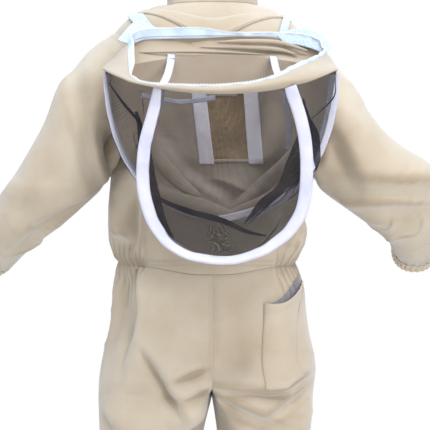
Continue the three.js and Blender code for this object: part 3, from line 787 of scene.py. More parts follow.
def hood_yoke():
    """The cloth roll between the hood's neck edge and its seam."""
    columns, rows = int(0.95 / STEP), int(0.09 / STEP)
    angles = np.linspace(0, 2 * math.pi, columns, endpoint=False)[None, :]
    t = np.linspace(0, 1, rows)[:, None]
    points = rim_curve(angles) * (1 - t[..., None]) + seam_curve(angles) * t[..., None]
    out = unit(points * np.array([1, 1, 0]) - np.array([HOOD_X, 0.218, 0]))
    arch = np.sin(t * math.pi)
    left_corner = 0.007 * np.maximum(np.cos(angles), 0) ** 2
    fullness = 0.010 - 0.001 * np.sin(angles) - 0.002 * np.cos(2 * angles) + left_corner
    lift = arch ** 0.8 * fullness + 0.0040 * noise(points, 0.07, 91) * arch
    lift = lift + 0.004 * (ridges(points, 0.06, 93, (2.0, 1.0, 0.5)) - 0.4) * arch
    points = raised(points, out, lift)
    points[..., 2] += 0.004 * arch * noise(points, 0.1, 95)
    return thicken(grid_object("hood_yoke_cloth", points, closed=True), 0.0018)


def spread(curve, seam_from, seam_to, u, v, bulge):
    """A sheet hung inside a U curve: u runs across it and v down from its seam to the U's bottom."""
    depth = v ** 0.8
    left, right = curve(-(1 - depth)), curve(1 - depth)
    mix = (u[..., None] + 1) / 2
    sheet = left * (1 - mix) + right * mix
    seam = seam_curve(seam_from + (seam_to - seam_from) * (u + 1) / 2)
    sheet = sheet + (seam - sheet[:1]) * (1 - depth[..., None]) ** 1.5
    return raised(sheet, BEHIND, bulge * (1 - u * u) * np.sin(depth * math.pi) ** 0.7)


def face_net():
    """The veil's face, inside the front hoop, with slack in its net."""
    u = np.linspace(-1, 1, int(0.30 / STEP))[None, :]
    v = np.linspace(0, 1, int(0.32 / STEP))[:, None]
    sheet = spread(front_hoop_curve, 1.03, 2.19, u, v, -0.016)
    folds = noise(sheet, 0.075, 121) + 0.7 * ridges(sheet, 0.055, 123, (1.6, 1, 0.6)) - 0.3
    edge = (1 - u ** 6) * smoothstep(0, 0.08, v) * smoothstep(0, 0.06, 1 - v)
    return raised(sheet, BEHIND, 0.004 * folds * edge)


HOOD_CREASES = [
    (0.110, -0.245, 0.060, -0.322, 0.014, 0.015),
    (0.066, -0.312, -0.032, -0.376, 0.013, 0.017),
    (-0.155, -0.250, -0.100, -0.314, 0.014, 0.015),
    (-0.108, -0.306, -0.030, -0.376, 0.014, 0.018),
    (0.085, -0.345, -0.012, -0.384, 0.010, 0.010),
    (-0.012, -0.384, -0.090, -0.354, 0.010, 0.010),
    (0.090, -0.200, 0.070, -0.300, 0.016, 0.006),
    (-0.125, -0.200, -0.100, -0.300, 0.014, 0.006),
]


def hood_back():
    """The cloth at the back of the hood, seen from inside, kept clear of the wearer's back."""
    u = np.linspace(-1, 1, int(0.42 / STEP))[None, :]
    v = np.linspace(0, 1, int(0.40 / STEP))[:, None]
    sheet = spread(crown_hoop_curve, 0.0, -math.pi, u, v, -0.040)
    clear, rounding = 0.132, 0.008  # the least depth behind the neck, and how softly it is kept
    past = np.clip((sheet[..., 1] - clear) / rounding, -30, 30)
    sheet[..., 1] = clear + rounding * np.log1p(np.exp(past))
    low = smoothstep(-0.26, -0.34, sheet[..., 2])
    folds = noise(sheet, 0.06, 103) + ridges(sheet, 0.05, 105, (1.8, 1, 0.7)) - 0.4
    folds = np.maximum((0.0030 + 0.0085 * low) * folds, -0.006)
    folds = folds + np.maximum(creases(sheet, 1.0, HOOD_CREASES), -0.010)
    return raised(sheet, BEHIND, folds * (1 - np.abs(u) ** 6) * smoothstep(0, 0.08, v))


def side_net():
    """The net between the two hoops, with slack that puckers along it."""
    s = np.linspace(-1, 1, int(1.0 / STEP))[None, :]
    t = np.linspace(0, 1, int(0.14 / STEP))[:, None]
    points = crown_hoop_curve(s) * (1 - t[..., None]) + front_hoop_curve(s) * t[..., None]
    seam = seam_curve(np.where(s < 0, 0.02 + 1.02 * t, math.pi - 0.02 - 1.02 * t))
    end = smoothstep(0.80, 1.0, np.abs(s))[..., None]
    points = points * (1 - end) + seam * end
    out = unit((points - np.array([HOOD_X, 0.24, -0.25])) * np.array([1, 0.2, 1]))
    pucker = 0.003 + 0.007 * smoothstep(0.12, 0.45, np.abs(s))
    folds = noise(points, 0.05, 111) + ridges(points, 0.045, 113, (1, 1, 2)) - 0.4
    return raised(points, out, (pucker * folds - 0.012) * np.sin(t * math.pi))


def loft_object(name, edge_a, edge_b, rows=6):
    """A strip between two edges, each given by a few points."""
    even = np.linspace(0, 1, 60)
    a, b = [between(even, np.linspace(0, 1, len(p)), p) for p in (smooth_path(edge_a), smooth_path(edge_b))]
    t = np.linspace(0, 1, rows)[:, None, None]
    return grid_object(name, a * (1 - t) + b * t)


def tube_object(name, path, radius, sides=10):
    along = unit(np.gradient(path, axis=0))
    side = unit(np.cross(along, BEHIND))[:, None]
    up = np.cross(side[:, 0], along)[:, None]
    turns = np.linspace(0, 2 * math.pi, sides, endpoint=False)[None, :, None]
    radius = np.broadcast_to(radius, len(path))[:, None, None]
    points = path[:, None] + radius * (np.cos(turns) * side + np.sin(turns) * up)
    piece = grid_object(name, points, closed=True)
    mesh = bmesh.new()
    mesh.from_mesh(piece.data)
    bmesh.ops.holes_fill(mesh, edges=mesh.edges, sides=sides)
    mesh.to_mesh(piece.data)
    mesh.free()
    return piece


def hoop_across(path):
    """The in-plane direction across a hoop's tape, square to its path and to the viewer behind."""
    return unit(np.cross(unit(np.gradient(path, axis=0)), BEHIND))


# ---- materials ----
def new_material(name):
    material = bpy.data.materials.new(name)
    material.use_nodes = True
    tree = material.node_tree
    shader = tree.nodes["Principled BSDF"]
    return material, tree, shader


def add_node(tree, kind, **inputs):
    made = tree.nodes.new(kind)
    for key, value in inputs.items():
        made.inputs[key.replace("_", " ")].default_value = value
    return made


def maths(tree, operation, a, b=None):
    made = tree.nodes.new("ShaderNodeMath")
    made.operation = operation
    for socket, value in zip(made.inputs, (a, b)):
        if value is None:
            continue
        if isinstance(value, (int, float)):
            socket.default_value = value
        else:
            tree.links.new(value, socket)
    return made.outputs[0]


def scaled(tree, value, factor, plus):
    """value * factor + plus."""
    return maths(tree, "ADD", maths(tree, "MULTIPLY", value, factor), plus)


def mixed(tree, factor, a, b):
    made = tree.nodes.new("ShaderNodeMix")
    made.data_type = "RGBA"
    for socket, value in ((made.inputs[0], factor), (made.inputs[6], a), (made.inputs[7], b)):
        if isinstance(value, (int, float)):
            socket.default_value = value
        elif isinstance(value, tuple):
            socket.default_value = (*value, 1)
        else:
            tree.links.new(value, socket)
    return made.outputs[2]


def cloth_coordinates(tree):
    made = tree.nodes.new("ShaderNodeUVMap")
    made.uv_map = "cloth"
    return made.outputs[0]


def cloudy(tree, scale, detail=3.0, roughness=0.55):
    """Noise fixed to the piece, from 0 to 1."""
    place = tree.nodes.new("ShaderNodeTexCoord")
    made = add_node(tree, "ShaderNodeTexNoise", Scale=scale, Detail=detail, Roughness=roughness)
    tree.links.new(place.outputs["Object"], made.inputs["Vector"])
    return made.outputs["Fac"]


def spread_out(tree, value, low, high):
    made = add_node(tree, "ShaderNodeMapRange", From_Min=low, From_Max=high)
    tree.links.new(value, made.inputs["Value"])
    return made.outputs[0]


def lines(tree, coordinates, pitch, turn):
    """Bands across the cloth at a pitch, turned by an angle."""
    mapping = tree.nodes.new("ShaderNodeMapping")
    mapping.inputs["Rotation"].default_value = (0, 0, turn)
    tree.links.new(coordinates, mapping.inputs["Vector"])
    made = add_node(tree, "ShaderNodeTexWave", Scale=2 * math.pi / (20 * pitch))
    tree.links.new(mapping.outputs[0], made.inputs["Vector"])
    return made.outputs["Fac"]


def bump(tree, height, distance, strength, shader):
    made = add_node(tree, "ShaderNodeBump", Strength=strength, Distance=distance)
    tree.links.new(height, made.inputs["Height"])
    tree.links.new(made.outputs[0], shader.inputs["Normal"])


def wear_and_painted_light_on_crests(tree, low, high):
    """From 0 in the hollows to 1 along the crests of folds and edges. It places rubbed wear on mouldings,
    painted shade in the hollows of cloth and tape, and painted highlight on the crests of cloth.
    """
    geometry = tree.nodes.new("ShaderNodeNewGeometry")
    return spread_out(tree, geometry.outputs["Pointiness"], low, high)


def twill(name, mid, deep, pale, sheen_tint, weave_pitch=0.0011):
    """Cotton-rich twill: diagonal ribs, slubs, faint soiling, painted shade in the hollows of its folds and a
    painted highlight on their crests.
    """
    material, tree, shader = new_material(name)
    coordinates = cloth_coordinates(tree)
    ribs = lines(tree, coordinates, weave_pitch, math.radians(32))
    slubs = lines(tree, coordinates, 0.0007, math.radians(90))
    blotches = spread_out(tree, cloudy(tree, 9.0, 4.0), 0.32, 0.70)
    grain = spread_out(tree, cloudy(tree, 420.0, 2.0), 0.25, 0.75)
    colour = mixed(tree, blotches, mid, pale)
    # painted shade: the hollows of folds are darkened towards the deep colour; painted highlight: their
    # crests are paled towards the pale colour
    hollow = maths(tree, "MULTIPLY", wear_and_painted_light_on_crests(tree, 0.495, 0.46), 0.45)
    colour = mixed(tree, hollow, colour, deep)
    crest = maths(tree, "MULTIPLY", wear_and_painted_light_on_crests(tree, 0.505, 0.545), 0.35)
    colour = mixed(tree, crest, colour, pale)
    yarn = scaled(tree, ribs, 0.10, maths(tree, "MULTIPLY", grain, 0.10))
    tree.links.new(mixed(tree, yarn, colour, deep), shader.inputs["Base Color"])
    tree.links.new(scaled(tree, blotches, 0.10, 0.80), shader.inputs["Roughness"])
    shader.inputs["Specular IOR Level"].default_value = 0.25
    shader.inputs["Sheen Weight"].default_value = 0.38
    shader.inputs["Sheen Roughness"].default_value = 0.45
    shader.inputs["Sheen Tint"].default_value = (*sheen_tint, 1)
    bump(tree, scaled(tree, grain, 0.8, scaled(tree, slubs, 0.4, ribs)), 0.00025, 0.5, shader)
    return material


def woven_tape(name, pale, shaded):
    """Herringbone polyester tape, its ribs across its width."""
    material, tree, shader = new_material(name)
    ribs = lines(tree, cloth_coordinates(tree), 0.0016, math.radians(45))
    blotches = spread_out(tree, cloudy(tree, 25.0), 0.3, 0.7)
    colour = mixed(tree, blotches, pale, shaded)
    colour = mixed(tree, maths(tree, "MULTIPLY", ribs, 0.12), colour, shaded)
    # painted shade: the hollows of the tape's folds take its shaded colour
    colour = mixed(tree, wear_and_painted_light_on_crests(tree, 0.44, 0.49), shaded, colour)
    tree.links.new(colour, shader.inputs["Base Color"])
    tree.links.new(scaled(tree, blotches, 0.15, 0.62), shader.inputs["Roughness"])
    shader.inputs["Sheen Weight"].default_value = 0.15
    bump(tree, ribs, 0.0003, 0.5, shader)
    return material


def open_net(name, thread, pitch, share):
    """A square net: dark threads with clear holes between them."""
    material, tree, shader = new_material(name)
    parts = tree.nodes.new("ShaderNodeSeparateXYZ")
    tree.links.new(cloth_coordinates(tree), parts.inputs[0])
    masks = []
    for axis in (0, 1):
        cell = maths(tree, "FRACT", maths(tree, "MULTIPLY", parts.outputs[axis], 1 / pitch))
        masks.append(maths(tree, "LESS_THAN", cell, share))
    on_thread = maths(tree, "MAXIMUM", masks[0], masks[1])
    faded = spread_out(tree, cloudy(tree, 30.0), 0.3, 0.75)
    tree.links.new(mixed(tree, faded, thread, tuple(2.2 * c for c in thread)), shader.inputs["Base Color"])
    shader.inputs["Roughness"].default_value = 0.7
    shader.inputs["Specular IOR Level"].default_value = 0.1
    clear = tree.nodes.new("ShaderNodeBsdfTransparent")
    mix = tree.nodes.new("ShaderNodeMixShader")
    tree.links.new(on_thread, mix.inputs[0])
    tree.links.new(clear.outputs[0], mix.inputs[1])
    tree.links.new(shader.outputs[0], mix.inputs[2])
    tree.links.new(mix.outputs[0], tree.nodes["Material Output"].inputs["Surface"])
    bump(tree, on_thread, 0.0004, 0.5, shader)
    return material


def plain_moulding(name, colour, worn, roughness, metallic=0.0, scale=180.0, gloss=0.5):
    """Thread, plastic or metal: fine grain, rubbed edges and uneven gloss."""
    material, tree, shader = new_material(name)
    grain = spread_out(tree, cloudy(tree, scale, 4.0), 0.3, 0.7)
    base = mixed(tree, maths(tree, "MULTIPLY", grain, 0.35), colour, worn)
    tree.links.new(mixed(tree, wear_and_painted_light_on_crests(tree, 0.50, 0.58), base, worn), shader.inputs["Base Color"])
    tree.links.new(scaled(tree, grain, 0.2, roughness - 0.1), shader.inputs["Roughness"])
    shader.inputs["Metallic"].default_value = metallic
    shader.inputs["Specular IOR Level"].default_value = gloss
    bump(tree, grain, 0.0002, 0.3, shader)
    return material


def fuzzy_loop(name, pale, shaded):
    """The looped half of a hook-and-loop patch."""
    material, tree, shader = new_material(name)
    loops = cloudy(tree, 900.0, 2.0)
    tufts = spread_out(tree, cloudy(tree, 260.0, 3.0), 0.35, 0.65)
    tree.links.new(mixed(tree, tufts, shaded, pale), shader.inputs["Base Color"])
    tree.links.new(scaled(tree, tufts, 0.15, 0.8), shader.inputs["Roughness"])
    shader.inputs["Sheen Weight"].default_value = 0.5
    bump(tree, maths(tree, "ADD", loops, tufts), 0.0012, 0.8, shader)
    return material


# each twill: its middle, deep and pale colours, and the tint of its bloom
COOL_BLOOM, LILAC_BLOOM = (0.70, 0.82, 1.0), (0.9, 0.9, 1.0)
KHAKI = twill(
    "khaki_twill", (0.411, 0.345, 0.260), (0.240, 0.180, 0.120), (0.487, 0.429, 0.350), COOL_BLOOM,
)
# painted shade: the same khaki twill made darker, for the hood's yoke
HOOD_KHAKI_PAINTED_SHADE = twill(
    "khaki_twill_hood", (0.345, 0.284, 0.205), (0.205, 0.154, 0.103), (0.415, 0.355, 0.276), COOL_BLOOM,
)
# painted light: the same khaki twill made paler, for the cloth rolls, folds and binding inside the hood,
# which lie in shade
KHAKI_PAINTED_LIGHT = twill(
    "khaki_twill_painted_light", (0.430, 0.352, 0.272), (0.260, 0.200, 0.146), (0.500, 0.430, 0.355), LILAC_BLOOM,
)
# painted shade: the same khaki twill made darker still, for the hood's back cloth deep inside the hood
HOOD_BACK_PAINTED_SHADE = twill(
    "khaki_twill_hood_back", (0.330, 0.265, 0.205), (0.190, 0.146, 0.106), (0.390, 0.330, 0.270), LILAC_BLOOM,
)
# painted shade: a dark blue-grey twill for the sheet that stands for the shade inside the rear pocket's mouth
POCKET_MOUTH_PAINTED_SHADE = twill(
    "pocket_mouth_painted_shade", (0.150, 0.150, 0.185), (0.030, 0.032, 0.048), (0.330, 0.320, 0.340), (0.8, 0.85, 1.0),
)
RIBBED = twill(
    "khaki_elastic", (0.410, 0.335, 0.245), (0.250, 0.190, 0.130), (0.480, 0.410, 0.325), (0.85, 0.92, 1.0),
    weave_pitch=0.0016,
)
# white tape in two copies: this darker one is painted shade on the hoops and outer tapes, which catch strong
# light
WHITE_TAPE = woven_tape("white_tape", (0.56, 0.56, 0.65), (0.44, 0.45, 0.58))
# painted light: the same white tape made brighter, for the tapes inside the hood, which lie in shade
INNER_TAPE_PAINTED_LIGHT = woven_tape("white_tape_inner", (0.82, 0.77, 0.84), (0.66, 0.63, 0.71))
ZIP_TAPE = woven_tape("pale_zip_tape", (0.54, 0.66, 0.84), (0.40, 0.50, 0.70))
NET = open_net("black_net", (0.018, 0.016, 0.017), 0.0013, 0.36)
NET_FOLD = open_net("black_net_doubled", (0.010, 0.010, 0.014), 0.0013, 0.74)
VENT_NET = open_net("vent_net", (0.215, 0.145, 0.075), 0.0024, 0.40)
NET_HEM = plain_moulding("black_binding", (0.008, 0.008, 0.014), (0.026, 0.028, 0.050), 0.6, gloss=0.15)
FUZZ = fuzzy_loop("hook_patch", (0.50, 0.61, 0.78), (0.38, 0.47, 0.64))
THREAD = plain_moulding("khaki_thread", (0.42, 0.35, 0.26), (0.60, 0.53, 0.43), 0.7)
WHITE_THREAD = plain_moulding("white_thread", (0.78, 0.78, 0.80), (0.9, 0.9, 0.9), 0.7)
TEETH = plain_moulding("zip_teeth", (0.62, 0.62, 0.60), (0.80, 0.80, 0.78), 0.4)
HOOP = plain_moulding("veil_hoop", (0.55, 0.56, 0.60), (0.75, 0.75, 0.78), 0.45)
METAL = plain_moulding("zip_metal", (0.45, 0.44, 0.42), (0.75, 0.74, 0.71), 0.35, 1.0, 240.0)
FLOOR = plain_moulding("studio_floor", (0.80, 0.80, 0.79), (0.86, 0.86, 0.85), 0.7, 0.0, 6.0)


def finish_piece(piece, material, body, slot, *nodes):
    """Colours a piece, hangs it on its body and lets it stand for its CAD nodes."""
    piece.data.materials.clear()
    piece.data.materials.append(material)
    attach(piece, body)
    if nodes:
        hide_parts(*nodes)


def suit_cloth(piece, *nodes):
    finish_piece(piece, KHAKI, "suit", "khaki_twill", *nodes)


def hood_piece(piece, material, slot, *nodes):
    finish_piece(piece, material, "hood", slot, *nodes)


def sew(name, points, normals, side=0.0):
    """A row of khaki stitches on the suit."""
    finish_piece(stitches_object(name, points, normals, side), THREAD, "suit", "khaki_twill")


# ---- suit ----
ARMS = {"left": Limb(LEFT_SLEEVE), "right": Limb(RIGHT_SLEEVE)}
ZIP_GAP = 0.03  # the angle from the middle of the front to a front panel's edge
for name, first_angle, last_angle, limbs, node in (
    ("back_bodice_cloth", 0.0, math.pi, ("left", "right"), "back_bodice"),
    ("left_front_cloth", -math.pi / 2 + ZIP_GAP, 0.0, ("left",), "left_front_bodice"),
    ("right_front_cloth", math.pi, 1.5 * math.pi - ZIP_GAP, ("right",), "right_front_bodice"),
):
    suit_cloth(bodice_panel(name, first_angle, last_angle, [ARMS[side] for side in limbs]), node)

for side, limb in ARMS.items():
    sleeve, seam, out = build_sleeve(f"{side}_sleeve_cloth", limb)
    suit_cloth(sleeve, f"{side}_sleeve")
    seam, out = np.concatenate([seam, seam[:1]]), np.concatenate([out, out[:1]])
    sew(f"{side}_armhole_stitches", seam + out * 0.001, out, 0.004)
    centre, wide, deep, half_wide, half_deep = limb.frame(np.array(1.0))
    along = limb.axes[-1, 6:9]
    cuff = build_cuff(f"{side}_wrist_cuff_cloth", centre, wide, deep, along, half_wide, half_deep, 30)
    finish_piece(cuff, RIBBED, "suit", "gathered_cuff", f"{side}_wrist_cuff")

for side, x in LEG_X.items():
    suit_cloth(trouser_half(f"{side}_trouser_cloth", side), f"{side}_trouser_leg")
    z, y, half_wide, half_deep = LEG[-1]
    cuff = build_cuff(
        f"{side}_ankle_cuff_cloth", np.array([x, y, z]), np.array([1.0, 0, 0]), BEHIND, -UP,
        half_wide * LEG_FULLNESS[side], half_deep, 36,
    )
    finish_piece(cuff, RIBBED, "suit", "gathered_cuff", f"{side}_ankle_cuff")

suit_cloth(collar(), "stand_collar")


# ---- pockets ----
def sew_pocket(name, points, normals):
    """Stitches down one side of a pocket, along its foot and up the other side."""
    edge, out = [np.concatenate([g[:, 1], g[-2, 1:-1], g[::-1, -2]]) for g in (points, normals)]
    sew(name, edge + out * 0.0015, out)


def pocket_mouth_painted_shade():
    """A dark sheet under the rear pocket's gaping mouth: painted shade inside the pocket."""
    across = np.linspace(0.10, 0.93, 34)[None, :]
    down = np.linspace(0, 1, 26)[:, None]
    mouth_z = -0.542 + 0.040 * across - 0.018 * np.sin(across * math.pi)
    z = mouth_z + (0.001 + 0.015 * smoothstep(0.1, 0.8, across)) * (1 - down) - 0.05 * down
    points, _ = cloth_surface(-0.090 - 0.070 * across, z, True, 0.0012 + 0.002 * down)
    return grid_object("rear_pocket_mouth_painted_shade", points)


rear_pocket, points, normals = patch_pocket(
    "rear_pocket_cloth", [(-0.090, -0.542), (-0.158, -0.506), (-0.150, -0.672), (-0.088, -0.690)],
    True, 0.012, 0.018,
)
suit_cloth(rear_pocket, "rear_hip_pocket")
sew_pocket("rear_pocket_stitches", points, normals)
sew("rear_pocket_hem_stitches", points[5, 1:-1] + normals[5, 1:-1] * 0.0015, normals[5, 1:-1])
# painted shade inside the rear pocket's mouth
finish_piece(pocket_mouth_painted_shade(), POCKET_MOUTH_PAINTED_SHADE, "suit", "khaki_twill")
chest_pocket, points, normals = patch_pocket(
    "chest_pocket_cloth", [(0.052, -0.212), (0.142, -0.212), (0.140, -0.328), (0.054, -0.328)], False, 0.006,
)
suit_cloth(chest_pocket, "chest_pocket")
sew_pocket("chest_pocket_stitches", points, normals)


# ---- waist and seat seams ----
def waist_seam_allowance():
    """The band of cloth inside the waist seam, all round."""
    angles = np.linspace(0, 2 * math.pi, 500, endpoint=False)[None, :]
    ring = torso_ring(np.full_like(angles, WAIST_Z), angles)
    ring = raised(ring, -UP, waist_drop(ring[..., 0], ring[..., 1]))
    band = ring + UP * np.linspace(0.006, -0.006, 5)[:, None, None]
    normals = outward(band, True, band * UP)
    lift = np.minimum(relief(band, normals) + waist_gathers(ring), 0.004) - 0.0024
    return grid_object("waist_seam_allowance", raised(band, normals, lift), closed=True)


suit_cloth(waist_seam_allowance())
across = np.linspace(-0.150, 0.168, 150)
for row, offset in (("upper", 0.004), ("lower", -0.004)):
    sew(f"waist_stitches_{row}", *cloth_surface(across, WAIST_Z + offset, True, 0.0006))
seat_seam = cloth_surface(0.0, np.linspace(WAIST_Z - 0.006, CROTCH_Z + 0.004, 80), True, 0.0006)
for side, offset in (("left", 0.0035), ("right", -0.0035)):
    sew(f"seat_stitches_{side}", *seat_seam, offset)

# the elastic inside the cloth at each side of the waist
for side, middle in (("left", 0.0), ("right", math.pi)):
    ring = torso_ring(np.full(120, WAIST_Z), np.linspace(middle - 0.75, middle + 0.75, 120))
    ripple = 0.0010 * np.cos(np.arange(120) * 1.1)
    ring = raised(ring, unit(ring * np.array([-1, -1, 0])), 0.013 + ripple)
    band = ribbon_object(f"{side}_elastic_band", ring, UP, 0.024, 0.0012)
    finish_piece(band, RIBBED, "suit", "gathered_cuff", f"{side}_waist_elastic")

# ---- front zip ----
(_, _, ZIP_FOOT), (_, _, ZIP_TOP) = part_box("left_front_zip_tape")
NECK_END = -0.008  # the tapes run on up to the collar
ZIP_Y = -0.1125


def front_zip_tape(name, x0, x1):
    """A tape down the front, kept flat below the chest."""
    z = np.linspace(NECK_END, ZIP_FOOT, int((NECK_END - ZIP_FOOT) / STEP))[:, None]
    points, _ = cloth_surface(np.linspace(x0, x1, 6)[None, :], z, False, 0.0012)
    flat = np.minimum(points[..., 1], ZIP_Y - 0.0012)
    points[..., 1] = np.where(points[..., 2] > -0.06, points[..., 1], flat)
    return thicken(grid_object(name, points), 0.0008, 1.0)


for side, x0, x1 in (("left", 0.0018, 0.014), ("right", -0.014, -0.0018)):
    tape = front_zip_tape(f"{side}_zip_tape_cloth", x0, x1)
    finish_piece(tape, KHAKI, "suit", "white_tape", f"{side}_front_zip_tape")
z = np.linspace(ZIP_FOOT + 0.006, CROTCH_Z - 0.004, 30)[:, None]
points, _ = cloth_surface(np.linspace(-0.015, 0.015, 9)[None, :], z, False, 0.0012)
suit_cloth(thicken(grid_object("zip_foot_patch", points), 0.0012, 1.0))
path, _ = cloth_surface(0.0, np.linspace(ZIP_TOP, ZIP_FOOT + 0.012, 200), False, 0.0)
path[:, 1] = np.minimum(path[:, 1], ZIP_Y - 0.0005)
teeth = teeth_object("front_zip_teeth_row", path, -BEHIND, 0.0028, 0.0036, 0.0022, 0.0022)
finish_piece(teeth, TEETH, "suit", "zip_teeth", "front_zip_teeth")


# ---- the suit's half of the neck zip, over the shoulders round the collar ----
def on_shoulders(x, y):
    """The height of the torso's cloth over a point near the neck."""
    low, high = np.full(x.shape, -0.20), np.full(x.shape, -0.0005)
    for _ in range(24):
        middle = (low + high) / 2
        inside = torso_level(np.stack([x, y, middle], -1)) < 1
        low, high = np.where(inside, middle, low), np.where(inside, high, middle)
    return high


NECK_ZIP_HALF_X, NECK_ZIP_HALF_Y, NECK_ZIP_Y = 0.137, 0.095, -0.007
angles = np.linspace(-math.pi / 2 + 0.10, 1.5 * math.pi - 0.10, 400)[None, :]
shift = np.linspace(-0.007, 0.007, 7)[:, None]
x = (NECK_ZIP_HALF_X + shift) * np.cos(angles)
y = NECK_ZIP_Y + (NECK_ZIP_HALF_Y + 0.003 * (angles > 0) + shift * 0.8) * np.sin(angles)
points = np.stack([x, y, on_shoulders(x, y)], -1)
normals = outward(points, False, np.array([0, 0, -0.25]))
points = raised(points, normals, np.maximum(relief(points, normals), 0.0) + 0.0010)
neck_tape = thicken(grid_object("neck_zip_tape_cloth", points), 0.0009, 0.0)
finish_piece(neck_tape, KHAKI, "suit", "white_tape", "neck_zip_tape")
tooth_line = points[5] + normals[5] * 0.0006
teeth = teeth_object("neck_zip_teeth_row", tooth_line, normals[5], 0.0026, 0.0022, 0.0020, 0.0010)
finish_piece(teeth, THREAD, "suit", "zip_teeth")

# the loop patches on the shoulders that the hood's flap presses onto
for side, (x0, z0), (x1, z1), width in (
    ("left", (0.138, -0.024), (0.112, -0.058), 0.030),
    ("right", (-0.134, -0.026), (-0.124, -0.062), 0.014),
):
    x = np.linspace(x0, x1, 40)[:, None] + np.linspace(-0.5, 0.5, 12)[None, :] * width
    points, _ = cloth_surface(x, np.linspace(z0, z1, 40)[:, None], True, 0.003)
    patch = thicken(grid_object(f"{side}_shoulder_loop_patch", points), 0.0016, 1.0)
    finish_piece(patch, FUZZ, "suit", "white_tape")

# ---- the hood's yoke and back, with rolls and folds in their cloth ----
# painted shade: the yoke wears the darker copy of the khaki twill
hood_piece(hood_yoke(), HOOD_KHAKI_PAINTED_SHADE, "khaki_twill", "hood_yoke")


def soft_roll(name, corners, count, radius, blunt, power, sides):
    """A roll of cloth through a few points, thinning towards its ends, and its middle line."""
    path = smooth_path(corners, count)
    taper = np.sin(np.linspace(blunt, math.pi - blunt, len(path))) ** power
    return tube_object(name, path, radius * taper, sides), path


# painted light: these rolls and the folds below wear the paler copy of the khaki twill
for name, radius, *corners in (
    (
        "yoke_roll_upper", 0.0048,
        (-0.010, 0.112, -0.078), (-0.060, 0.113, -0.077), (-0.120, 0.116, -0.080), (-0.168, 0.136, -0.096),
    ),
    (
        "yoke_roll_lower", 0.0042,
        (0.020, 0.112, -0.087), (-0.050, 0.113, -0.088), (-0.115, 0.118, -0.092), (-0.150, 0.130, -0.102),
    ),
    (
        "yoke_seam_roll", 0.0028,
        (0.130, 0.126, -0.098), (0.060, 0.121, -0.096), (-0.020, 0.120, -0.097), (-0.095, 0.122, -0.101),
    ),
):
    hood_piece(soft_roll(name, corners, 16, radius, 0.12, 0.6, 12)[0], KHAKI_PAINTED_LIGHT, "khaki_twill")

for name, radius, *corners in (
    (
        "hood_fold_left", 0.013,
        (0.112, 0.208, -0.240), (0.092, 0.200, -0.286), (0.063, 0.196, -0.322), (0.022, 0.198, -0.356),
    ),
    (
        "hood_fold_right", 0.012,
        (-0.158, 0.214, -0.256), (-0.118, 0.200, -0.304), (-0.072, 0.196, -0.345), (-0.038, 0.198, -0.374),
    ),
    (
        "hood_fold_low", 0.012,
        (0.100, 0.214, -0.338), (0.062, 0.212, -0.356), (0.014, 0.210, -0.370), (-0.036, 0.208, -0.386),
    ),
    (
        "hood_fold_low_right", 0.010,
        (-0.030, 0.206, -0.382), (-0.062, 0.208, -0.372), (-0.100, 0.212, -0.354), (-0.132, 0.216, -0.326),
    ),
):
    fold, path = soft_roll(name, corners, 18, radius, 0.25, 0.5, 20)
    for vertex in fold.data.vertices:
        middle = path[np.argmin(np.linalg.norm(path - np.array(vertex.co), axis=1)), 1]
        vertex.co.y = middle + (vertex.co.y - middle) * 0.55
        vertex.co.y += 0.003 * float(noise(np.array(vertex.co), 0.03, 131))
    hood_piece(fold, KHAKI_PAINTED_LIGHT, "khaki_twill")

# ---- the ventilation window in the hood's back ----
VENT_TOP, VENT_FOOT = -0.176, -0.288


def vent_left(z):
    return 0.018 + (z + 0.18) * 0.115


def vent_right(z):
    return -0.073 + (z + 0.18) * 0.075


back_sheet = hood_back()
x, z = back_sheet[..., 0], back_sheet[..., 2]
in_vent = (x > vent_right(z) - 0.002) & (x < vent_left(z) + 0.002) & (z < VENT_TOP) & (z > VENT_FOOT)
# painted shade: the hood's back cloth wears the darker copy of the khaki twill
hood_piece(grid_object("hood_back_cloth", back_sheet, keep=~in_vent), HOOD_BACK_PAINTED_SHADE, "khaki_twill", "hood_back")


def on_back_sheet(x, z, lift):
    """Points of the hood's back cloth at x and z, raised towards the veil."""
    x, z = np.broadcast_arrays(x, z)
    flat = back_sheet.reshape(-1, 3)
    result = []
    for px, pz in zip(x.ravel(), z.ravel()):
        gap = (flat[:, 0] - px) ** 2 + (flat[:, 2] - pz) ** 2
        near = np.argpartition(gap, 6)[:6]
        weight = 1 / (gap[near] + 1e-6)
        result.append((px, (flat[near, 1] * weight).sum() / weight.sum() + lift, pz))
    return np.array(result).reshape(*x.shape, 3)


def vent_strip(name, x, z, lift):
    return thicken(grid_object(name, on_back_sheet(x, z, lift)), 0.0008, 0.0)


z = np.linspace(VENT_TOP + 0.006, VENT_FOOT - 0.003, 40)[:, None]
share = np.linspace(0, 1, 30)[None, :]
x = vent_right(z) - 0.004 + (vent_left(z) - vent_right(z) + 0.008) * share
hood_piece(grid_object("vent_net", on_back_sheet(x, z, -0.0015)), VENT_NET, "black_net", "vent_mesh")
z = np.linspace(VENT_TOP + 0.010, VENT_FOOT - 0.008, 50)[:, None]
# painted light: the vent tapes wear the brighter copy of the white tape
for side, edge in (("left", vent_left), ("right", vent_right)):
    x = edge(z) + np.linspace(-0.0085, 0.0175, 9)[None, :]
    tape = vent_strip(f"{side}_vent_tape_cloth", x, z, 0.0016)
    hood_piece(tape, INNER_TAPE_PAINTED_LIGHT, "white_tape", f"{side}_vent_tape")
z = np.linspace(VENT_FOOT - 0.004, VENT_FOOT + 0.001, 4)[:, None]
x = vent_right(z) + (vent_left(z) - vent_right(z)) * np.linspace(0.02, 0.98, 40)[None, :]
# painted light: the vent's foot binding wears the paler copy of the khaki twill
hood_piece(vent_strip("vent_foot_binding", x, z, 0.0012), KHAKI_PAINTED_LIGHT, "khaki_twill")

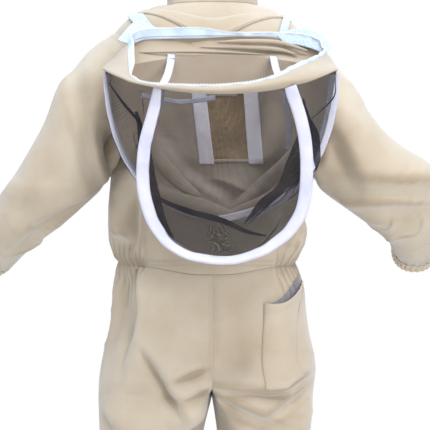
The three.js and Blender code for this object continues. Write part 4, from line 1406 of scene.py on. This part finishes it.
# ---- nets, hoops and the hoops' tapes ----
hood_piece(grid_object("hood_side_net", side_net()), NET, "black_net", "hood_side_mesh")
hood_piece(grid_object("hood_face_net", face_net()), NET, "black_net", "hood_face_mesh")


def taped_hoop(side, path, width, tilt):
    """A hoop's wire and the tape folded over it: two faces and a rolled edge round the wire."""
    hood_piece(tube_object(f"{side}_hoop_wire", path, 0.0018), HOOP, "veil_hoop", f"{side}_hoop")
    across = unit(hoop_across(path) * np.cos(tilt)[:, None] + BEHIND * np.sin(tilt)[:, None])
    face = np.cross(unit(np.gradient(path, axis=0)), across)
    sides = np.linspace(-1, 1, 13)[None, :]
    flat = raised(path[:, None], across[:, None], sides * width / 2)
    bow = 0.0030 * np.sqrt(1 - sides ** 2) + 0.0006
    ripple = 0.0007 * np.sin(np.arange(len(path)) * 0.45)[:, None] * sides ** 2
    near, far = raised(flat, face[:, None], ripple + bow), raised(flat, face[:, None], ripple - bow)
    tape = grid_object(f"{side}_hoop_binding", np.concatenate([near, far[:, ::-1]], axis=1), closed=True)
    hood_piece(tape, WHITE_TAPE, "white_tape", f"{side}_hoop_tape")
    for edge, place in (("in", -0.82), ("out", 0.82)):
        for label, out in (("near", face), ("far", -face)):
            line = path + across * place * width / 2 + out * 0.0024
            name = f"{side}_hoop_binding_{label}_stitches_{edge}"
            stitches = stitches_object(name, line, out, 0.0, 0.0030, 0.0021, 0.0005)
            hood_piece(stitches, WHITE_THREAD, "white_tape")


s = np.linspace(-1, 1, 240)
taped_hoop("front", front_hoop_curve(s), 0.0215, 0.06 + 0.94 * hump(s, 0, 0.38))
taped_hoop("crown", crown_hoop_curve(s), 0.0185, 1.25 - 0.95 * smoothstep(-0.3, 0.35, s))


# ---- tapes ----
def hood_tape(name, corners, count, across, width, thickness, material, *nodes):
    """A flat tape through a few points; across is its width's direction, or None for a hoop's own."""
    path = smooth_path(corners, count)
    across = hoop_across(path) if across is None else across
    tape = ribbon_object(name, path, across, width, thickness)
    hood_piece(tape, material, "white_tape", *nodes)


for side, *corners in (
    ("left", (0.072, 0.121, -0.100), (0.0735, 0.152, -0.122), (0.077, 0.205, -0.146), (0.082, 0.308, -0.172)),
    ("right", (-0.108, 0.121, -0.104), (-0.110, 0.20, -0.134), (-0.116, 0.308, -0.172)),
):
    hood_tape(
        f"{side}_inner_tape_cloth", corners, 30, [1.0, 0.15, 0.1], 0.0135, 0.0009,
        WHITE_TAPE, f"{side}_inner_tape",
    )
for name, width, material, *corners in (
    (
        # painted light: the brighter copy of the white tape
        "crown_tape_end", 0.012, INNER_TAPE_PAINTED_LIGHT,
        (-0.012, 0.224, -0.392), (-0.042, 0.225, -0.386), (-0.084, 0.226, -0.374),
    ),
    (
        "veil_seam_tape", 0.008, WHITE_TAPE,
        (0.117, 0.286, -0.186), (0.086, 0.272, -0.191), (0.050, 0.270, -0.196), (-0.006, 0.284, -0.190),
    ),
    (
        "right_hoop_lining", 0.008, WHITE_TAPE,
        (-0.122, 0.250, -0.178), (-0.130, 0.246, -0.233), (-0.128, 0.242, -0.274),
    ),
):
    hood_tape(name, corners, 16, None, width, 0.0009, material)

# ---- the zip half round the hood's rim ----
angles = np.linspace(0, 2 * math.pi, 520)
rim = rim_curve(angles)
far_side = smoothstep(0.0, -0.6, np.sin(angles))
left_end = smoothstep(0.78, 0.98, np.cos(angles))
standing = 0.0025 + 0.0085 * smoothstep(-0.04, 0.03, rim[:, 0])
height = 0.0030 + 0.0022 * smoothstep(-0.06, -0.14, rim[:, 0]) + far_side * standing + 0.003 * left_end
near_right = smoothstep(-0.2, -0.9, np.cos(angles)) * smoothstep(0.1, 0.7, np.sin(angles))
inward = 0.010 * left_end + 0.004 * near_right
wave = (1 - left_end) * (0.0012 * np.sin(angles * 23) + 0.0008 * np.sin(angles * 41 + 1))
lean = unit(rim * np.array([1, 1, 0]) - np.array([HOOD_X, 0.216, 0]))
level = np.linspace(-0.35, 1, 8)[:, None]
points = raised(raised(rim[None], UP, level * height), lean[None], level * (wave - inward) + 0.0016)
rim_tape = thicken(grid_object("hood_zip_tape_cloth", points), 0.0012, 0.0)
hood_piece(rim_tape, ZIP_TAPE, "white_tape", "hood_zip_tape")
teeth = teeth_object("hood_zip_teeth_row", points[-1] + UP * 0.0004, -lean, 0.0026, 0.0030, 0.0020, 0.0018)
hood_piece(teeth, TEETH, "zip_teeth")

# ---- hook patches on the hood's corners, each between its far edge and its near edge ----
for side, far, near in (
    (
        "left",
        ((0.134, 0.088, -0.034), (0.152, 0.108, -0.054), (0.166, 0.140, -0.078)),
        ((0.098, 0.100, -0.052), (0.124, 0.112, -0.066), (0.142, 0.146, -0.087)),
    ),
    (
        "right",
        ((-0.112, 0.104, -0.062), (-0.160, 0.110, -0.054), (-0.196, 0.140, -0.072), (-0.206, 0.175, -0.094)),
        ((-0.128, 0.112, -0.080), (-0.158, 0.124, -0.086), (-0.184, 0.155, -0.098), (-0.192, 0.190, -0.110)),
    ),
):
    flap = thicken(loft_object(f"{side}_hook_flap", far, near, 14), 0.0022, 0.0)
    hood_piece(flap, FUZZ, "white_tape", f"{side}_hook_patch")

# ---- folds of doubled net seen through the veil, each between two edges ----
for name, edge_a, edge_b in (
    (
        "left_net_wedge",
        (
            (0.107, 0.292, -0.255), (0.114, 0.292, -0.320), (0.107, 0.294, -0.370),
            (0.086, 0.296, -0.412), (0.062, 0.296, -0.436),
        ),
        (
            (0.104, 0.284, -0.262), (0.095, 0.278, -0.315), (0.086, 0.276, -0.355),
            (0.078, 0.280, -0.388), (0.062, 0.290, -0.425),
        ),
    ),
    (
        "right_net_wedge",
        (
            (-0.149, 0.292, -0.240), (-0.153, 0.292, -0.290), (-0.150, 0.290, -0.322),
            (-0.116, 0.286, -0.348), (-0.052, 0.280, -0.402),
        ),
        (
            (-0.147, 0.290, -0.240), (-0.124, 0.280, -0.296), (-0.108, 0.276, -0.336),
            (-0.078, 0.276, -0.362), (-0.050, 0.278, -0.404),
        ),
    ),
    (
        "left_outer_wedge",
        ((0.129, 0.272, -0.212), (0.124, 0.278, -0.245), (0.123, 0.284, -0.290)),
        ((0.124, 0.276, -0.212), (0.114, 0.286, -0.245), (0.117, 0.288, -0.290)),
    ),
    (
        "right_outer_wedge",
        ((-0.152, 0.288, -0.190), (-0.164, 0.276, -0.222), (-0.180, 0.258, -0.250), (-0.184, 0.240, -0.290)),
        ((-0.150, 0.284, -0.196), (-0.158, 0.272, -0.240), (-0.166, 0.262, -0.275), (-0.176, 0.246, -0.312)),
    ),
):
    hood_piece(loft_object(name, edge_a, edge_b), NET_FOLD, "black_net")

# ---- black bindings on the net's seams ----
for name, width, *corners in (
    (
        "left_net_binding", 0.0105,
        (0.106, 0.284, -0.336), (0.083, 0.283, -0.360), (0.035, 0.280, -0.380),
        (-0.016, 0.280, -0.394), (-0.057, 0.282, -0.412), (-0.090, 0.284, -0.420),
    ),
    (
        "right_net_binding", 0.0030,
        (-0.148, 0.286, -0.328), (-0.113, 0.284, -0.352), (-0.083, 0.282, -0.378), (-0.057, 0.280, -0.404),
    ),
    (
        "right_low_binding", 0.0022,
        (-0.113, 0.287, -0.393), (-0.105, 0.287, -0.408), (-0.088, 0.289, -0.428), (-0.070, 0.292, -0.444),
    ),
    (
        "right_upper_binding", 0.0026,
        (-0.209, 0.236, -0.150), (-0.207, 0.240, -0.183), (-0.184, 0.262, -0.209), (-0.164, 0.282, -0.226),
    ),
    (
        "left_upper_binding", 0.0050,
        (0.176, 0.226, -0.160), (0.150, 0.246, -0.196), (0.126, 0.262, -0.224), (0.108, 0.284, -0.250),
    ),
):
    path = smooth_path(corners, 16)
    swell = 0.30 + 0.70 * np.sin(np.linspace(0.0, math.pi, len(path))) ** 1.5
    hood_piece(ribbon_object(name, path, hoop_across(path), width * swell, 0.0010), NET_HEM, "black_net")

# the crown hoop's tape is bound in black along its outer edge
for side, first, last, out in (("left", -0.92, -0.36, 0.0045), ("right", 0.62, 0.36, 0.0100)):
    path = crown_hoop_curve(np.linspace(first, last, 60))
    across = hoop_across(path)
    away = np.sign((across * (path - np.array([HOOD_X, 0.2, -0.15]))).sum(axis=1))
    swell = 0.25 + 0.75 * np.sin(np.linspace(0.0, math.pi, 60))
    path = raised(path, across, away * out)
    strip = ribbon_object(f"{side}_crown_binding", path, across, 0.0040 * swell, 0.0010)
    hood_piece(strip, NET_HEM, "black_net")

# ---- zip sliders and pulls keep their CAD shapes ----
for zip_name in ("front_zip", "left_neck_zip", "right_neck_zip"):
    for part in ("slider", "pull"):
        metal_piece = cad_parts[f"{zip_name}_{part}"]
        metal_piece.data.materials.clear()
        metal_piece.data.materials.append(METAL)

# ---- floor, light and camera ----
x, y = np.meshgrid(np.linspace(-2.2, 2.2, 12), np.linspace(-2.2, 2.2, 12))
floor = grid_object("floor", np.stack([x, y, np.full(x.shape, HEM_Z - 0.06)], -1))
floor.data.materials.append(FLOOR)

world = bpy.data.worlds.new("studio")
bpy.context.scene.world = world
world.use_nodes = True
world.node_tree.nodes["Background"].inputs["Color"].default_value = (1, 1, 1, 1)
world.node_tree.nodes["Background"].inputs["Strength"].default_value = 1.0


def soft_light(name, place, target, size, power, colour):
    data = bpy.data.lights.new(name, "AREA")
    data.size = size
    data.energy = power
    data.color = colour
    light = bpy.data.objects.new(name, data)
    bpy.context.scene.collection.objects.link(light)
    light.location = place
    direction = mathutils.Vector(target) - mathutils.Vector(place)
    light.rotation_mode = "QUATERNION"
    light.rotation_quaternion = direction.to_track_quat("-Z", "Y")


SKY, LAMP = (0.76, 0.88, 1.0), (1.0, 0.97, 0.95)
soft_light("sky_left", (0.9, 0.9, 2.6), (0, 0, -0.4), 1.2, 60, SKY)
soft_light("sky_right", (-1.1, 0.6, 2.4), (0, 0, -0.4), 1.2, 24, SKY)
soft_light("key", (-0.9, 2.2, 2.3), (0, 0, -0.5), 0.5, 45, LAMP)
soft_light("behind", (-1.2, 3.2, 0.0), (0, 0, -0.6), 0.8, 41, LAMP)
soft_light("front", (-1.2, -2.6, 1.2), (0, 0, -0.6), 1.8, 42, (1.0, 0.99, 0.98))
camera_data = bpy.data.cameras.new("camera")
camera_data.lens = 126.7
camera_data.sensor_width = 36
camera = bpy.data.objects.new("camera", camera_data)
camera.location = (-0.005, 2.8, -0.385)
camera.rotation_euler = (math.pi / 2, 0, math.pi)
bpy.context.scene.collection.objects.link(camera)
bpy.context.scene.camera = camera
bpy.context.scene.view_settings.view_transform = "Standard"
